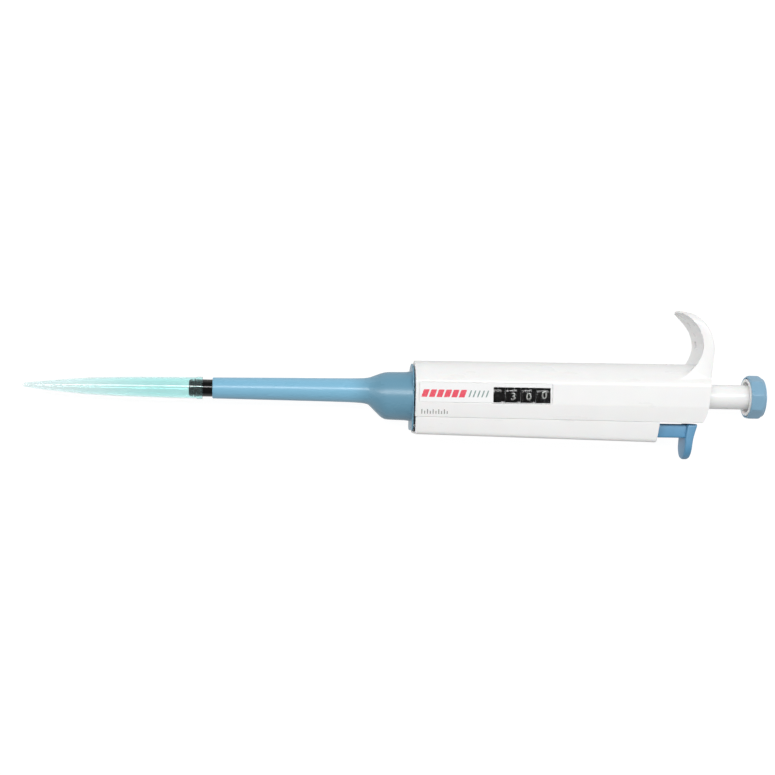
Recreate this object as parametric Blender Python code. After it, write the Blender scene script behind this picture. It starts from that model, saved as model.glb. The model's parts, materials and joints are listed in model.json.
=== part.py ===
"""Adjustable micropipette, 100 to 1000 microlitres, as an assembly of its real pieces.

The pipette lies on its rear flank. +X runs along the plunger axis from the tip to the push
button, +Y points to the finger hook and +Z is up, out of the volume window. The origin is on
the rear flank, under the plunger axis, near the middle of the handle. Sizes are millimetres
measured along the axis from the handle's lower end, and each mesh is built in metres.
The volume is set to 300 microlitres.
"""
import math

import bmesh
import bpy

MM = 0.001

# ---- driving dimensions, in millimetres ------------------------------------------------
HANDLE_MIDDLE = 60.0          # the origin's place along the axis, from the handle's lower end
HALF_DEPTH = 10.3             # plunger axis to the front flank, and to the rear flank
GAP = 0.3                     # between pieces that touch
RUN = 0.25                    # radial running clearance

BORE_R = 8.7                  # main bore of the handle
BORE_END = 117.5
STEM_R = 5.1                  # white plunger rod

TOP_AT_START, TOP_SLOPE = 12.77, 0.005        # crown of the handle, in y
SEAM_AT_START, SEAM_SLOPE = -9.96, -0.0071    # joint line of handle and ejector cover
BASE_AT_START, BASE_SLOPE = -17.3, -0.013     # underside of the ejector cover
FACET_TOP, FACET_BOTTOM = 4.2, -4.35          # edges of the flat front and rear flanks
SEAM_HALF_DEPTH, BASE_HALF_DEPTH = 9.6, 8.7

DRUM_R, DRUM_BORE_R = 7.9, 6.75
DRUM_START, DRUM_PITCH, DRUM_LENGTH = 30.8, 6.4, 6.0
DRUM_NAMES = ("drum_thousands", "drum_hundreds", "drum_tens", "drum_ones")
TOOTH_HEIGHT, RIM_WIDTH, GEAR_WIDTH = 0.6, 1.3, 1.6
DRUM_TEETH, PINION_TEETH = 30, 6
PINION_Y, PINION_TIP_R = 9.1, 1.6
CORE_BORE_R, CORE_R = 5.95, 6.5
CORE_START, CORE_PLATE = 28.0, 2.0

WINDOW_START, WINDOW_END, WINDOW_LOW, WINDOW_HIGH = 31.7, 55.2, -3.8, 2.4
LABEL_START, LABEL_END, LABEL_THICK = 1.5, 55.8, 0.3

PISTON_R, PISTON_BOTTOM = 4.46, -0.5
NOZZLE_END, NOZZLE_R, NOZZLE_BORE_R = -91.5, 3.5, 1.6
BARREL_R, CUP_R = 6.0, 6.4
SLEEVE_END, SLEEVE_BORE_R = -82.4, 3.8

HEAD_START, HEAD_END, HEAD_R = 38.0, 40.5, 5.6
SCREW_START, SCREW_END, THREAD_R = 75.3, 102.5, 6.9
SEAT_START, SEAT_END = 59.0, 60.0
BUTTON_START, BUTTON_END, BUTTON_R, BUTTON_FACETS = 139.8, 148.0, 9.2, 9

ROD_Y, ROD_R = -14.0, 1.4     # ejector rod, under the handle
ROD_END = 92.0
HOOK_INNER = (105.5, 21.0, 13.1)              # centre x, centre y, radius of the finger face
HOOK_BACK = (108.9, 20.0, 14.5)
HOOK_ROOT = (122.2, 3.0)                      # where the back leaves the handle
HOOK_TURNS, HOOK_BACK_TURN = (-64.0, 78.0), 88.0   # degrees along the finger face, the back
HOOK_HALF_WIDTH, HOOK_POINT = 9.5, 82.0       # degrees at which the width would be nothing

SMOOTH_ANGLE = math.radians(32)


# ---- finishes --------------------------------------------------------------------------
def finish(name, colour, roughness, metallic=0.0, alpha=1.0):
    """One Principled material."""
    made = bpy.data.materials.new(name)
    made.use_nodes = True
    shader = made.node_tree.nodes["Principled BSDF"]
    shader.inputs["Base Color"].default_value = (*colour, 1.0)
    shader.inputs["Roughness"].default_value = roughness
    shader.inputs["Metallic"].default_value = metallic
    shader.inputs["Alpha"].default_value = alpha
    made.diffuse_color = (*colour, alpha)
    return made


def make_finishes():
    """The finishes by name."""
    return {
        "white": finish("white_plastic", (0.88, 0.89, 0.90), 0.35),
        "label": finish("label_film", (0.92, 0.93, 0.94), 0.30),
        "blue": finish("blue_plastic", (0.16, 0.37, 0.55), 0.40),
        "button": finish("button_blue", (0.22, 0.47, 0.63), 0.40),
        "teal": finish("clear_teal_plastic", (0.45, 0.85, 0.80), 0.15, 0.0, 0.5),
        "lens": finish("clear_lens", (0.90, 0.93, 0.93), 0.08, 0.0, 0.3),
        "black": finish("black_plastic", (0.02, 0.02, 0.02), 0.45),
        "rubber": finish("black_rubber", (0.02, 0.02, 0.02), 0.8),
        "grey": finish("grey_polymer", (0.45, 0.46, 0.47), 0.45),
        "seal": finish("seal_polymer", (0.80, 0.78, 0.70), 0.5),
        "steel": finish("steel", (0.60, 0.60, 0.60), 0.25, 1.0),
        "brass": finish("brass", (0.60, 0.45, 0.20), 0.35, 1.0),
        "cutter": finish("cutter", (1.0, 0.2, 0.2), 0.5),
    }


# ---- mesh helpers ----------------------------------------------------------------------
class Bench:
    """Makes objects, places them on the plunger axis and cuts or joins them."""

    def __init__(self):
        for stale in list(bpy.data.objects):
            bpy.data.objects.remove(stale, do_unlink=True)
        self.finishes = make_finishes()
        self.axis = bpy.data.objects.new("plunger_axis", None)
        self.axis.location = (-HANDLE_MIDDLE * MM, 0.0, HALF_DEPTH * MM)
        bpy.context.scene.collection.objects.link(self.axis)

    def mesh(self, name, points, faces, look, origin=(0.0, 0.0, 0.0)):
        """A closed mesh whose points are in millimetres, with its object at origin."""
        data = bpy.data.meshes.new(name)
        shape = bmesh.new()
        verts = [
            shape.verts.new([(p - o) * MM for p, o in zip(point, origin)]) for point in points
        ]
        for face in faces:
            shape.faces.new([verts[i] for i in face])
        bmesh.ops.recalc_face_normals(shape, faces=shape.faces)
        shape.to_mesh(data)
        shape.free()
        data.materials.append(self.finishes[look])
        data.shade_smooth()
        data.set_sharp_from_angle(angle=SMOOTH_ANGLE)
        made = bpy.data.objects.new(name, data)
        made.location = [o * MM for o in origin]
        made.parent = self.axis
        bpy.context.scene.collection.objects.link(made)
        return made

    def loft(self, name, rings, look, closed=False, origin=(0.0, 0.0, 0.0)):
        """A skin over rings of points. A closed one is a tube bent onto itself."""
        count = len(rings[0])
        points = [point for ring in rings for point in ring]
        faces = []
        for i in range(len(rings) if closed else len(rings) - 1):
            low, high = i * count, (i + 1) % len(rings) * count
            for j in range(count):
                k = (j + 1) % count
                faces.append((low + j, low + k, high + k, high + j))
        if not closed:
            faces.append(tuple(range(count)))
            faces.append(tuple(range(len(points) - count, len(points))))
        return self.mesh(name, points, faces, look, origin)

    def turned(self, name, profile, look, y=0.0, sides=32):
        """A round piece from (x, radius) points. It is a ring unless both ends have no bore."""
        closed = profile[0][1] > 0.0
        outline = profile if closed else profile[1:-1]
        rings = [circle(x, radius, y, sides) for x, radius in outline]
        start = min(x for x, _ in profile)
        return self.loft(name, rings, look, closed, (start, y, 0.0))

    def block(self, name, low, high, look):
        """A box between two corners."""
        (x0, y0, z0), (x1, y1, z1) = low, high
        rings = [[(x, y0, z0), (x, y1, z0), (x, y1, z1), (x, y0, z1)] for x in (x0, x1)]
        return self.loft(name, rings, look)

    def spring(self, name, start, end, radius, wire, turns, look, y=0.0):
        """A compression spring of round wire, with its ends cut square to the wire."""
        per_turn, sides = 10, 5
        steps = int(turns * per_turn)
        rise = (end - start - wire) / steps
        rings = []
        for i in range(steps + 1):
            angle = math.tau * i / per_turn
            x = start + wire / 2 + rise * i
            ring = []
            for j in range(sides):
                around = math.tau * j / sides
                reach = radius + wire / 2 * math.cos(around)
                ring.append((
                    x + wire / 2 * math.sin(around),
                    y + reach * math.cos(angle),
                    reach * math.sin(angle),
                ))
            rings.append(ring)
        return self.loft(name, rings, look, origin=(start, y, 0.0))

    def combine(self, target, tool, operation):
        """A Boolean of tool with target, which leaves the tool as a guide."""
        tool.hide_render = True
        tool.display_type = "WIRE"
        step = target.modifiers.new(tool.name, "BOOLEAN")
        step.object = tool
        step.operation = operation
        step.solver = "EXACT"

    def cut(self, target, *tools):
        """Takes each tool's shape out of the target."""
        for tool in tools:
            self.combine(target, tool, "DIFFERENCE")

    def fuse(self, target, *tools):
        """Adds each tool's shape to the target."""
        for tool in tools:
            self.combine(target, tool, "UNION")


def circle(x, radius, y=0.0, sides=32):
    """Points round the axis at x."""
    step = math.tau / sides
    return [
        (x, y + radius * math.cos(step * i), radius * math.sin(step * i)) for i in range(sides)
    ]


def toothed(x, root, tip, teeth, y=0.0, turn=0.0):
    """A ring of V teeth at x, its first tip at the angle turn from +Y."""
    step = math.pi / teeth
    ring = []
    for i in range(2 * teeth):
        radius = root if i % 2 else tip
        ring.append((
            x,
            y + radius * math.cos(turn + step * i),
            radius * math.sin(turn + step * i),
        ))
    return ring


def ring_profile(start, end, bore, outer):
    """The profile of a plain ring."""
    return [(start, outer), (end, outer), (end, bore), (start, bore)]


def round_ring(x, middle, thickness, steps):
    """The profile of an O-ring."""
    return [
        (
            x - thickness / 2 * math.cos(math.tau * i / steps),
            middle + thickness / 2 * math.sin(math.tau * i / steps),
        )
        for i in range(steps)
    ]


# ---- handle outline --------------------------------------------------------------------
def crown(x):
    """The highest y of the handle at x."""
    return TOP_AT_START + TOP_SLOPE * x


def seam(x):
    """The underside of the handle at x."""
    return SEAM_AT_START + SEAM_SLOPE * x


def base(x):
    """The underside of the ejector cover at x."""
    return BASE_AT_START + BASE_SLOPE * x


def crown_arc(x, inset=0.0, steps=18):
    """The rounded crown from the front flank over the top to the rear flank."""
    drop = crown(x) - FACET_TOP
    radius = (drop ** 2 + HALF_DEPTH ** 2) / (2 * drop)
    middle = crown(x) - radius
    edge = math.atan2(HALF_DEPTH, FACET_TOP - middle)
    return [
        (
            x,
            middle + (radius - inset) * math.cos(edge * (1 - 2 * i / steps)),
            (radius - inset) * math.sin(edge * (1 - 2 * i / steps)),
        )
        for i in range(steps + 1)
    ]


def handle_ring(x):
    """The handle's outline at x, without the ejector cover."""
    low = seam(x)
    return crown_arc(x) + [
        (x, FACET_BOTTOM, -HALF_DEPTH),
        (x, low, -SEAM_HALF_DEPTH),
        (x, low, SEAM_HALF_DEPTH),
        (x, FACET_BOTTOM, HALF_DEPTH),
    ]


def cover_corner(x, inset, steps=4):
    """The rounded lower front corner of the cover, from the flank to the underside."""
    radius = 1.5 - inset / 2
    y0, z0 = base(x) + inset + radius, BASE_HALF_DEPTH - inset - radius
    points = []
    for i in range(steps + 1):
        angle = math.pi / 2 * i / steps
        points.append((y0 - radius * math.sin(angle), z0 + radius * math.cos(angle)))
    return points


# ---- handle ----------------------------------------------------------------------------
def hook_stations(count=18):
    """Tuples of turn, finger face (x, y) and back (x, y), from the hook's root to its tip."""
    inner_x, inner_y, inner_r = HOOK_INNER
    back_x, back_y, back_r = HOOK_BACK
    root_x, root_y = HOOK_ROOT
    first, last = HOOK_TURNS
    straight = 0.28
    stations = []
    for i in range(count + 1):
        part = i / count
        turn = first + (last - first) * part
        angle = math.radians(turn)
        inner = (inner_x + inner_r * math.cos(angle), inner_y + inner_r * math.sin(angle))
        if part < straight:
            rise = part / straight
            back = (root_x + (back_x + back_r - root_x) * rise, root_y + (back_y - root_y) * rise)
        else:
            angle = math.radians(HOOK_BACK_TURN * (part - straight) / (1 - straight))
            back = (back_x + back_r * math.cos(angle), back_y + back_r * math.sin(angle))
        stations.append((turn, inner, back))
    return stations


def hook_rings():
    """Rings round the hook, full width at its root and narrowing to a point."""
    rings = []
    for turn, inner, back in hook_stations():
        point = max(0.0, turn) * 90.0 / HOOK_POINT
        width = HOOK_HALF_WIDTH * math.cos(math.radians(point)) ** 0.7
        length = math.dist(inner, back)
        edge = min(0.9, 0.3 * length, 0.4 * width)
        across = [(b - a) / length * edge for a, b in zip(inner, back)]
        near = [a + c for a, c in zip(inner, across)]
        far = [b - c for b, c in zip(back, across)]
        ring = []
        for (x, y), z in (
            (inner, width - edge), (near, width), (far, width), (back, width - edge),
            (back, edge - width), (far, -width), (near, -width), (inner, edge - width),
        ):
            ring.append((x, y, z))
        rings.append(ring)
    return rings


def make_handle(bench):
    """The white handle with its hook, bored for the works and cut for window and label."""
    shell = bench.loft("handle_shell", [handle_ring(0.0), handle_ring(130.0)], "white")
    bench.fuse(shell, bench.loft("hook_form", hook_rings(), "cutter"))

    end_outline = [(117.9, -12.0), (117.9, -10.9), (120.0, -8.4), (121.1, -5.4), (122.05, 5.2)]
    end_outline += [(123.0, 14.3), (124.0, 24.0), (140.0, 24.0), (140.0, -12.0)]
    rings = [[(x, y, z) for x, y in end_outline] for z in (-12.0, 12.0)]
    bench.cut(shell, bench.loft("end_cutter", rings, "cutter"))

    hole_r = STEM_R + 2 * RUN
    bore = [(-1.0, 0.0), (-1.0, BORE_R), (BORE_END, BORE_R), (BORE_END, hole_r)]
    bore += [(130.0, hole_r), (130.0, 0.0)]
    bench.cut(shell, bench.turned("bore_cutter", bore, "cutter"))
    slot = ((27.0, 6.5, -1.9), (94.3, PINION_Y + PINION_TIP_R + GAP, 1.9))
    bench.cut(shell, bench.block("slot_cutter", *slot, "cutter"))

    floor = HALF_DEPTH - LABEL_THICK - GAP
    recess = (
        (LABEL_START - GAP, FACET_BOTTOM, floor),
        (LABEL_END + GAP, FACET_TOP, HALF_DEPTH + 1.0),
    )
    bench.cut(shell, bench.block("label_recess_cutter", *recess, "cutter"))
    opening = (
        (WINDOW_START - 1.0, WINDOW_LOW - 0.4, 6.0),
        (WINDOW_END + 0.45, WINDOW_HIGH + 1.0, HALF_DEPTH),
    )
    bench.cut(shell, bench.block("window_cutter", *opening, "cutter"))


def make_window(bench):
    """The label film with its window cut-out, and the lens behind it."""
    plate = bench.block(
        "label_plate",
        (LABEL_START, FACET_BOTTOM + GAP, HALF_DEPTH - LABEL_THICK),
        (LABEL_END, FACET_TOP - GAP, HALF_DEPTH),
        "label",
    )
    frame = (WINDOW_START, WINDOW_LOW, 9.0), (WINDOW_END, WINDOW_HIGH, 11.0)
    bench.cut(plate, bench.block("label_window_cutter", *frame, "cutter"))
    bench.block(
        "window_lens",
        (WINDOW_START - 0.7, WINDOW_LOW - 0.2, BORE_R + 0.1),
        (WINDOW_END + 0.2, WINDOW_HIGH + 0.7, HALF_DEPTH - LABEL_THICK - 0.2),
        "lens",
    )


def make_cover(bench):
    """The white channel under the handle that hides the ejector rod."""
    wall, floor = 1.2, 0.9
    top_x, low_x = 101.1, 99.9

    def ring(x, slanted):
        rim = seam(x) - GAP
        half = []
        half.append((rim, SEAM_HALF_DEPTH - wall))
        half.append((base(x) + floor, BASE_HALF_DEPTH - wall))
        outline = [(y, z) for y, z in half]
        outer = [(rim, SEAM_HALF_DEPTH)] + cover_corner(x, 0.0)
        mirrored = [(y, -z) for y, z in reversed(outer)]
        inner = [(y, -z) for y, z in outline] + [(y, z) for y, z in reversed(outline)]
        points = []
        for y, z in outer + mirrored + inner:
            lean = (y - rim) / (base(x) - rim) * (low_x - top_x) if slanted else 0.0
            points.append((x + lean, y, z))
        return points

    bench.loft("ejector_cover", [ring(0.2, False), ring(top_x, True)], "white")


# ---- nozzle, seals and piston ------------------------------------------------------------
def make_nozzle(bench):
    """The black nozzle barrel, its O-ring, and the nut that holds it in the handle."""
    groove = (-89.7, -88.3, 2.9)
    barrel = [
        (NOZZLE_END, 3.1), (NOZZLE_END + 0.6, NOZZLE_R),
        (groove[0], NOZZLE_R), (groove[0], groove[2]),
        (groove[1], groove[2]), (groove[1], NOZZLE_R),
        (-19.5, NOZZLE_R), (-14.5, BARREL_R), (8.4, BARREL_R), (8.4, 8.3),
        (18.0, 8.3), (18.0, CUP_R), (11.5, CUP_R), (11.5, PISTON_R + GAP),
        (-12.9, PISTON_R + GAP), (-14.4, NOZZLE_BORE_R), (NOZZLE_END, NOZZLE_BORE_R),
    ]
    bench.turned("nozzle_barrel", barrel, "black")
    bench.turned("nozzle_o_ring", round_ring(-89.0, 3.33, 0.76, 6), "rubber", sides=24)
    bench.turned("barrel_nut", ring_profile(2.5, 8.1, BARREL_R + GAP, 8.4), "grey")


def make_seals(bench):
    """The lip seal, the O-ring behind it and the retainer that the piston spring rests on."""
    bench.turned("piston_seal", ring_profile(11.9, 13.9, PISTON_R + RUN, 6.1), "seal")
    bench.turned("seal_o_ring", round_ring(15.0, 5.4, 1.3, 8), "rubber", sides=24)
    retainer = [
        (16.0, 6.1), (18.3, 6.1), (18.3, 8.2), (19.3, 8.2), (19.3, 4.9), (16.0, 4.9),
    ]
    bench.turned("seal_retainer", retainer, "grey")


def make_piston(bench):
    """The steel piston, its head and its return spring."""
    low, high = PISTON_BOTTOM, HEAD_START - 0.4
    piston = [(low, 0.0), (low, 4.0), (low + 0.5, PISTON_R), (high, PISTON_R), (high, 0.0)]
    bench.turned("piston", piston, "steel")
    head = [
        (HEAD_START, 0.0), (HEAD_START, HEAD_R), (HEAD_END - 0.6, HEAD_R),
        (HEAD_END, HEAD_R - 0.6), (HEAD_END, 0.0),
    ]
    bench.turned("piston_head", head, "grey")
    bench.spring("piston_spring", 19.6, HEAD_START - 0.3, 5.3, 0.7, 7, "steel")


# ---- counter ---------------------------------------------------------------------------
def make_core(bench):
    """The tube that the drums turn on, with an ear that holds the pinion shaft."""
    plate_end = CORE_START + CORE_PLATE
    core = [
        (CORE_START, BORE_R - GAP), (plate_end, BORE_R - GAP), (plate_end, CORE_R),
        (56.1, CORE_R), (56.1, CORE_BORE_R), (CORE_START, CORE_BORE_R),
    ]
    body = bench.turned("counter_core", core, "grey")
    ear = (CORE_START, 7.2, -1.5), (plate_end, PINION_Y + 1.2, 1.5)
    bench.fuse(body, bench.block("core_ear_form", *ear, "cutter"))
    shaft = [
        (plate_end + GAP, 0.0), (plate_end + GAP, 0.5), (SEAT_START - GAP, 0.5),
        (SEAT_START - GAP, 0.0),
    ]
    bench.turned("pinion_shaft", shaft, "steel", PINION_Y, 12)


def make_drums(bench):
    """Four number drums. Each but the first has a low rim, each but the last a gear."""
    root = DRUM_R - TOOTH_HEIGHT
    sides = 2 * DRUM_TEETH
    last = len(DRUM_NAMES) - 1
    for place, name in enumerate(DRUM_NAMES):
        start = DRUM_START + DRUM_PITCH * place
        end = start + DRUM_LENGTH
        rings = []
        if place > 0:
            rings.append(circle(start, root, sides=sides))
            rings.append(circle(start + RIM_WIDTH, root, sides=sides))
            rings.append(circle(start + RIM_WIDTH, DRUM_R, sides=sides))
        else:
            rings.append(circle(start, DRUM_R, sides=sides))
        if place < last:
            rings.append(circle(end - GEAR_WIDTH, DRUM_R, sides=sides))
            rings.append(toothed(end - GEAR_WIDTH + 0.01, root, DRUM_R, DRUM_TEETH))
            rings.append(toothed(end, root, DRUM_R, DRUM_TEETH))
        else:
            rings.append(circle(end, DRUM_R, sides=sides))
        rings.append(circle(end, DRUM_BORE_R, sides=sides))
        rings.append(circle(start, DRUM_BORE_R, sides=sides))
        bench.loft(name, rings, "black", closed=True, origin=(start, 0.0, 0.0))


def make_pinions(bench):
    """A carry pinion between each two drums, free to turn on the shaft."""
    turn = math.pi / PINION_TEETH
    root = PINION_TIP_R - TOOTH_HEIGHT
    bore = 0.75
    for place in range(len(DRUM_NAMES) - 1):
        end_of_drum = DRUM_START + DRUM_PITCH * place + DRUM_LENGTH
        start, end = end_of_drum - 1.4, end_of_drum + 1.4
        rings = [
            toothed(start, root, PINION_TIP_R, PINION_TEETH, PINION_Y, turn),
            toothed(end, root, PINION_TIP_R, PINION_TEETH, PINION_Y, turn),
            toothed(end, bore, bore, PINION_TEETH, PINION_Y, turn),
            toothed(start, bore, bore, PINION_TEETH, PINION_Y, turn),
        ]
        origin = (start, PINION_Y, 0.0)
        bench.loft(f"carry_pinion_{place + 1}", rings, "seal", closed=True, origin=origin)


def make_drive(bench):
    """The hexagonal push rod, and the hub on it that turns the ones drum."""
    rod = [circle(x, 2.2, sides=6) for x in (HEAD_END + GAP, 95.7)]
    bench.loft("push_rod", rod, "steel", origin=(HEAD_END + GAP, 0.0, 0.0))
    hub = bench.turned(
        "drive_hub", [(56.4, 0.0), (56.4, DRUM_R), (58.6, DRUM_R), (58.6, 0.0)], "grey"
    )
    socket = [circle(x, 2.2 + GAP, sides=6) for x in (56.0, 59.0)]
    bench.cut(hub, bench.loft("hub_cutter", socket, "cutter"))


def make_blowout(bench):
    """The seat across the bore, the blow-out spring on it, and the collar that meets it."""
    seat = bench.turned("spring_seat", ring_profile(SEAT_START, SEAT_END, 2.7, 8.4), "grey")
    ear = (SEAT_START, 7.2, -1.5), (SEAT_END, PINION_Y + 1.2, 1.5)
    bench.fuse(seat, bench.block("seat_ear_form", *ear, "cutter"))
    bench.spring("blowout_spring", SEAT_END + GAP, 67.4, 4.2, 0.9, 4.5, "steel")
    bench.turned("rod_collar", ring_profile(72.5, 75.0, 2.5, 5.4), "brass")


# ---- volume screw and plunger -------------------------------------------------------------
def make_screw(bench):
    """The hollow volume screw, the keyed ring that rides on it, its nut and the top bush."""
    stem_bore = STEM_R + GAP
    screw = [
        (SCREW_START, 8.2), (78.0, 8.2), (78.0, THREAD_R), (81.7, THREAD_R), (81.7, 7.7),
        (82.7, 7.7), (82.7, THREAD_R), (SCREW_END, THREAD_R), (SCREW_END, stem_bore),
        (86.0, stem_bore), (86.0, 2.6), (SCREW_START, 2.6),
    ]
    bench.turned("volume_screw", screw, "brass")
    ring = bench.turned("thrust_ring", ring_profile(78.3, 81.4, THREAD_R + RUN, 8.4), "grey")
    key = (78.3, 7.6, -1.4), (81.4, PINION_Y + 1.2, 1.4)
    bench.fuse(ring, bench.block("key_form", *key, "cutter"))
    bench.turned("screw_nut", ring_profile(94.6, 101.4, THREAD_R + RUN, 8.4), "brass")
    bench.turned("top_bush", ring_profile(114.3, 117.2, stem_bore, 8.4), "white")


def button_ring(x, radius, roundness=0.0, sides=36):
    """A ring of nine flats at x. A roundness of 1 makes it a circle."""
    flat = math.pi / BUTTON_FACETS
    ring = []
    for i in range(sides):
        angle = math.tau * i / sides
        off = (angle + flat) % (2 * flat) - flat
        sharp = radius * math.cos(flat) / math.cos(abs(off) - flat)
        reach = sharp + (radius * math.cos(flat / 2) - sharp) * roundness
        ring.append((x, reach * math.cos(angle), reach * math.sin(angle)))
    return ring


def make_plunger(bench):
    """The white rod and the two-piece push button."""
    low, high = 96.0, 143.3
    stem = [
        (low, 0.0), (low, STEM_R - 0.4), (low + 0.4, STEM_R), (high, STEM_R), (high, 0.0),
    ]
    bench.turned("plunger_stem", stem, "white")
    liner_start, recess_end, liner_end = BUTTON_START - 0.3, 143.6, 146.0
    liner = [
        (recess_end, 0.0), (recess_end, 6.5), (liner_start, 6.5), (liner_start, 7.7),
        (liner_end, 7.7), (liner_end, 0.0),
    ]
    bench.turned("button_liner", liner, "white")
    rings = [
        button_ring(liner_end + GAP, 8.0, 1.0), button_ring(BUTTON_START, 8.15, 1.0),
        button_ring(BUTTON_START, BUTTON_R - 0.5), button_ring(BUTTON_START + 0.5, BUTTON_R),
        button_ring(144.9, BUTTON_R), button_ring(146.5, BUTTON_R - 0.9, 0.5),
        button_ring(147.5, BUTTON_R - 2.4, 1.0), button_ring(BUTTON_END, BUTTON_R - 4.4, 1.0),
    ]
    origin = (BUTTON_START, 0.0, 0.0)
    bench.loft("button_cap", rings, "button", origin=origin)


# ---- ejector and tip -----------------------------------------------------------------------
SLEEVE_STATIONS = (           # x, highest y, lowest y, half depth
    (SLEEVE_END, 4.1, -4.1, 4.1),
    (SLEEVE_END + 0.4, 4.35, -4.2, 4.3),
    (-56.0, 4.68, -4.45, 4.6),
    (-27.0, 5.0, -4.8, 4.95),
    (-21.5, 5.15, -5.05, 5.15),
    (-18.9, 5.4, -5.5, 5.5),
    (-17.6, 5.75, -6.5, 6.1),
    (-15.2, 6.65, -8.85, 7.3),
    (-12.7, 7.5, -11.0, 8.25),
    (-10.2, 7.88, -11.65, 8.5),
    (-2.6, 8.1, -11.95, 8.7),
    (-1.0, 8.6, -12.2, 9.0),
)


def sleeve_rings(sides=32):
    """Oval rings up the ejector sleeve."""
    rings = []
    for x, high, low, half in SLEEVE_STATIONS:
        middle, reach = (high + low) / 2, (high - low) / 2
        ring = []
        for i in range(sides):
            angle = math.tau * i / sides
            ring.append((x, middle + reach * math.cos(angle), half * math.sin(angle)))
        rings.append(ring)
    return rings


def flange_ring(x):
    """The flange's outline, a little inside the handle and cover together."""
    inset = 1.3
    crown_part = crown_arc(0.0, inset)
    corner = cover_corner(0.0, inset)
    rear = [(y, -z) for y, z in reversed(corner)]
    return (
        [(x, y, z) for _, y, z in crown_part]
        + [(x, seam(0.0), inset - SEAM_HALF_DEPTH)]
        + [(x, y, z) for y, z in reversed(rear)]
        + [(x, y, z) for y, z in reversed(corner)]
        + [(x, seam(0.0), SEAM_HALF_DEPTH - inset)]
    )


def make_sleeve(bench):
    """The blue ejector sleeve and flange, hollow over the nozzle."""
    sleeve = bench.loft("ejector_sleeve", sleeve_rings(), "blue")
    flange = bench.loft("flange_form", [flange_ring(-1.1), flange_ring(-0.5)], "cutter")
    bench.fuse(sleeve, flange)
    bore, wide = SLEEVE_BORE_R, BARREL_R + GAP
    hollow = [
        (SLEEVE_END - 1.0, 0.0), (SLEEVE_END - 1.0, bore), (-20.5, bore), (-15.4, wide),
        (1.0, wide), (1.0, 0.0),
    ]
    bench.cut(sleeve, bench.turned("sleeve_cutter", hollow, "cutter"))


def make_rod(bench):
    """The ejector rod, its guide in the cover, its collar and its return spring."""
    rod = [(0.0, 0.0), (0.0, ROD_R), (ROD_END, ROD_R), (ROD_END, 0.0)]
    bench.turned("ejector_rod", rod, "steel", ROD_Y, 16)
    guide = bench.block("ejector_guide", (56.0, -16.8, -7.0), (59.0, -10.9, 7.0), "grey")
    eye = [(55.0, 0.0), (55.0, ROD_R + GAP), (60.0, ROD_R + GAP), (60.0, 0.0)]
    bench.cut(guide, bench.turned("guide_cutter", eye, "cutter", ROD_Y, 16))
    bench.turned(
        "ejector_rod_collar", ring_profile(84.0, 86.0, ROD_R + GAP, 2.5), "steel", ROD_Y, 16
    )
    bench.spring("ejector_spring", 59.3, 83.7, 2.2, 0.5, 8, "steel", ROD_Y)


def make_ejector_button(bench):
    """The blue thumb tab on its stem."""
    round_r, bottom = 6.0, -26.2
    middle = bottom + round_r
    left = ((-11.4, 113.7), (-17.1, 112.9), (bottom, 112.5))
    right = ((-11.4, 118.0), (-18.5, 116.1), (bottom, 115.3))
    edge = 0.6

    def follow(points, y):
        for (y0, x0), (y1, x1) in zip(points, points[1:]):
            if y >= y1:
                return x0 + (x1 - x0) * (y - y0) / (y1 - y0)
        return points[-1][1]

    rows = [-11.4, -14.0, -17.1, -18.5, middle]
    rows += [middle - round_r * math.sin(math.radians(a)) for a in (20, 38, 54, 68, 79, 87)]
    rings = []
    for y in rows:
        down = max(0.0, middle - y)
        half = math.sqrt(round_r ** 2 - down ** 2)
        x0, x1 = follow(left, y), follow(right, y)
        soft = min(edge, half / 2)
        outline = (
            (x0, half - soft), (x0 + edge, half), (x1 - edge, half), (x1, half - soft),
            (x1, soft - half), (x1 - edge, -half), (x0 + edge, -half), (x0, soft - half),
        )
        rings.append([(x, y, z) for x, z in outline])
    tab = bench.loft("ejector_button", rings, "blue")
    stem = (ROD_END + GAP, -17.2, -4.5), (115.0, -11.6, 4.5)
    bench.fuse(tab, bench.block("stem_form", *stem, "cutter"))


TIP_OUTSIDE = (               # x, radius
    (-157.3, 0.85), (-154.2, 1.2), (-149.5, 1.7), (-139.9, 2.65), (-130.4, 3.4),
    (-116.0, 3.9), (-101.6, 4.15), (-88.7, 4.3), (-88.2, 4.5), (-86.8, 4.5), (-86.5, 4.4),
)
TIP_INSIDE = (
    (-86.5, 4.0), (-88.2, 3.85), (-101.6, 3.55), (-116.0, 3.3), (-130.4, 2.8),
    (-139.9, 2.05), (-149.5, 1.1), (-157.3, 0.4),
)


def make_tip(bench):
    """The disposable tip, a thin cone that is open at both ends."""
    bench.turned("pipette_tip", list(TIP_OUTSIDE + TIP_INSIDE), "teal", sides=24)


def main():
    """Builds every piece."""
    bench = Bench()
    for make in (
        make_handle, make_window, make_cover, make_nozzle, make_seals, make_piston,
        make_core, make_drums, make_pinions, make_drive, make_blowout, make_screw,
        make_plunger, make_sleeve, make_rod, make_ejector_button, make_tip,
    ):
        make(bench)


main()
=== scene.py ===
"""Looks of an adjustable micropipette: fine meshes and finishes round its CAD frame.

Sizes are millimetres along the plunger axis from the handle's lower end, as on a works
drawing, with y towards the finger hook and z out of the number window. Datum turns them into
the frame's metres, and takes its own place from the frame.
"""
import json
import logging
import math
from dataclasses import dataclass, field
from enum import Enum
from functools import partial
from typing import Callable, Iterable, Sequence

import bmesh
import bpy
from mathutils import Matrix, Vector


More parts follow.
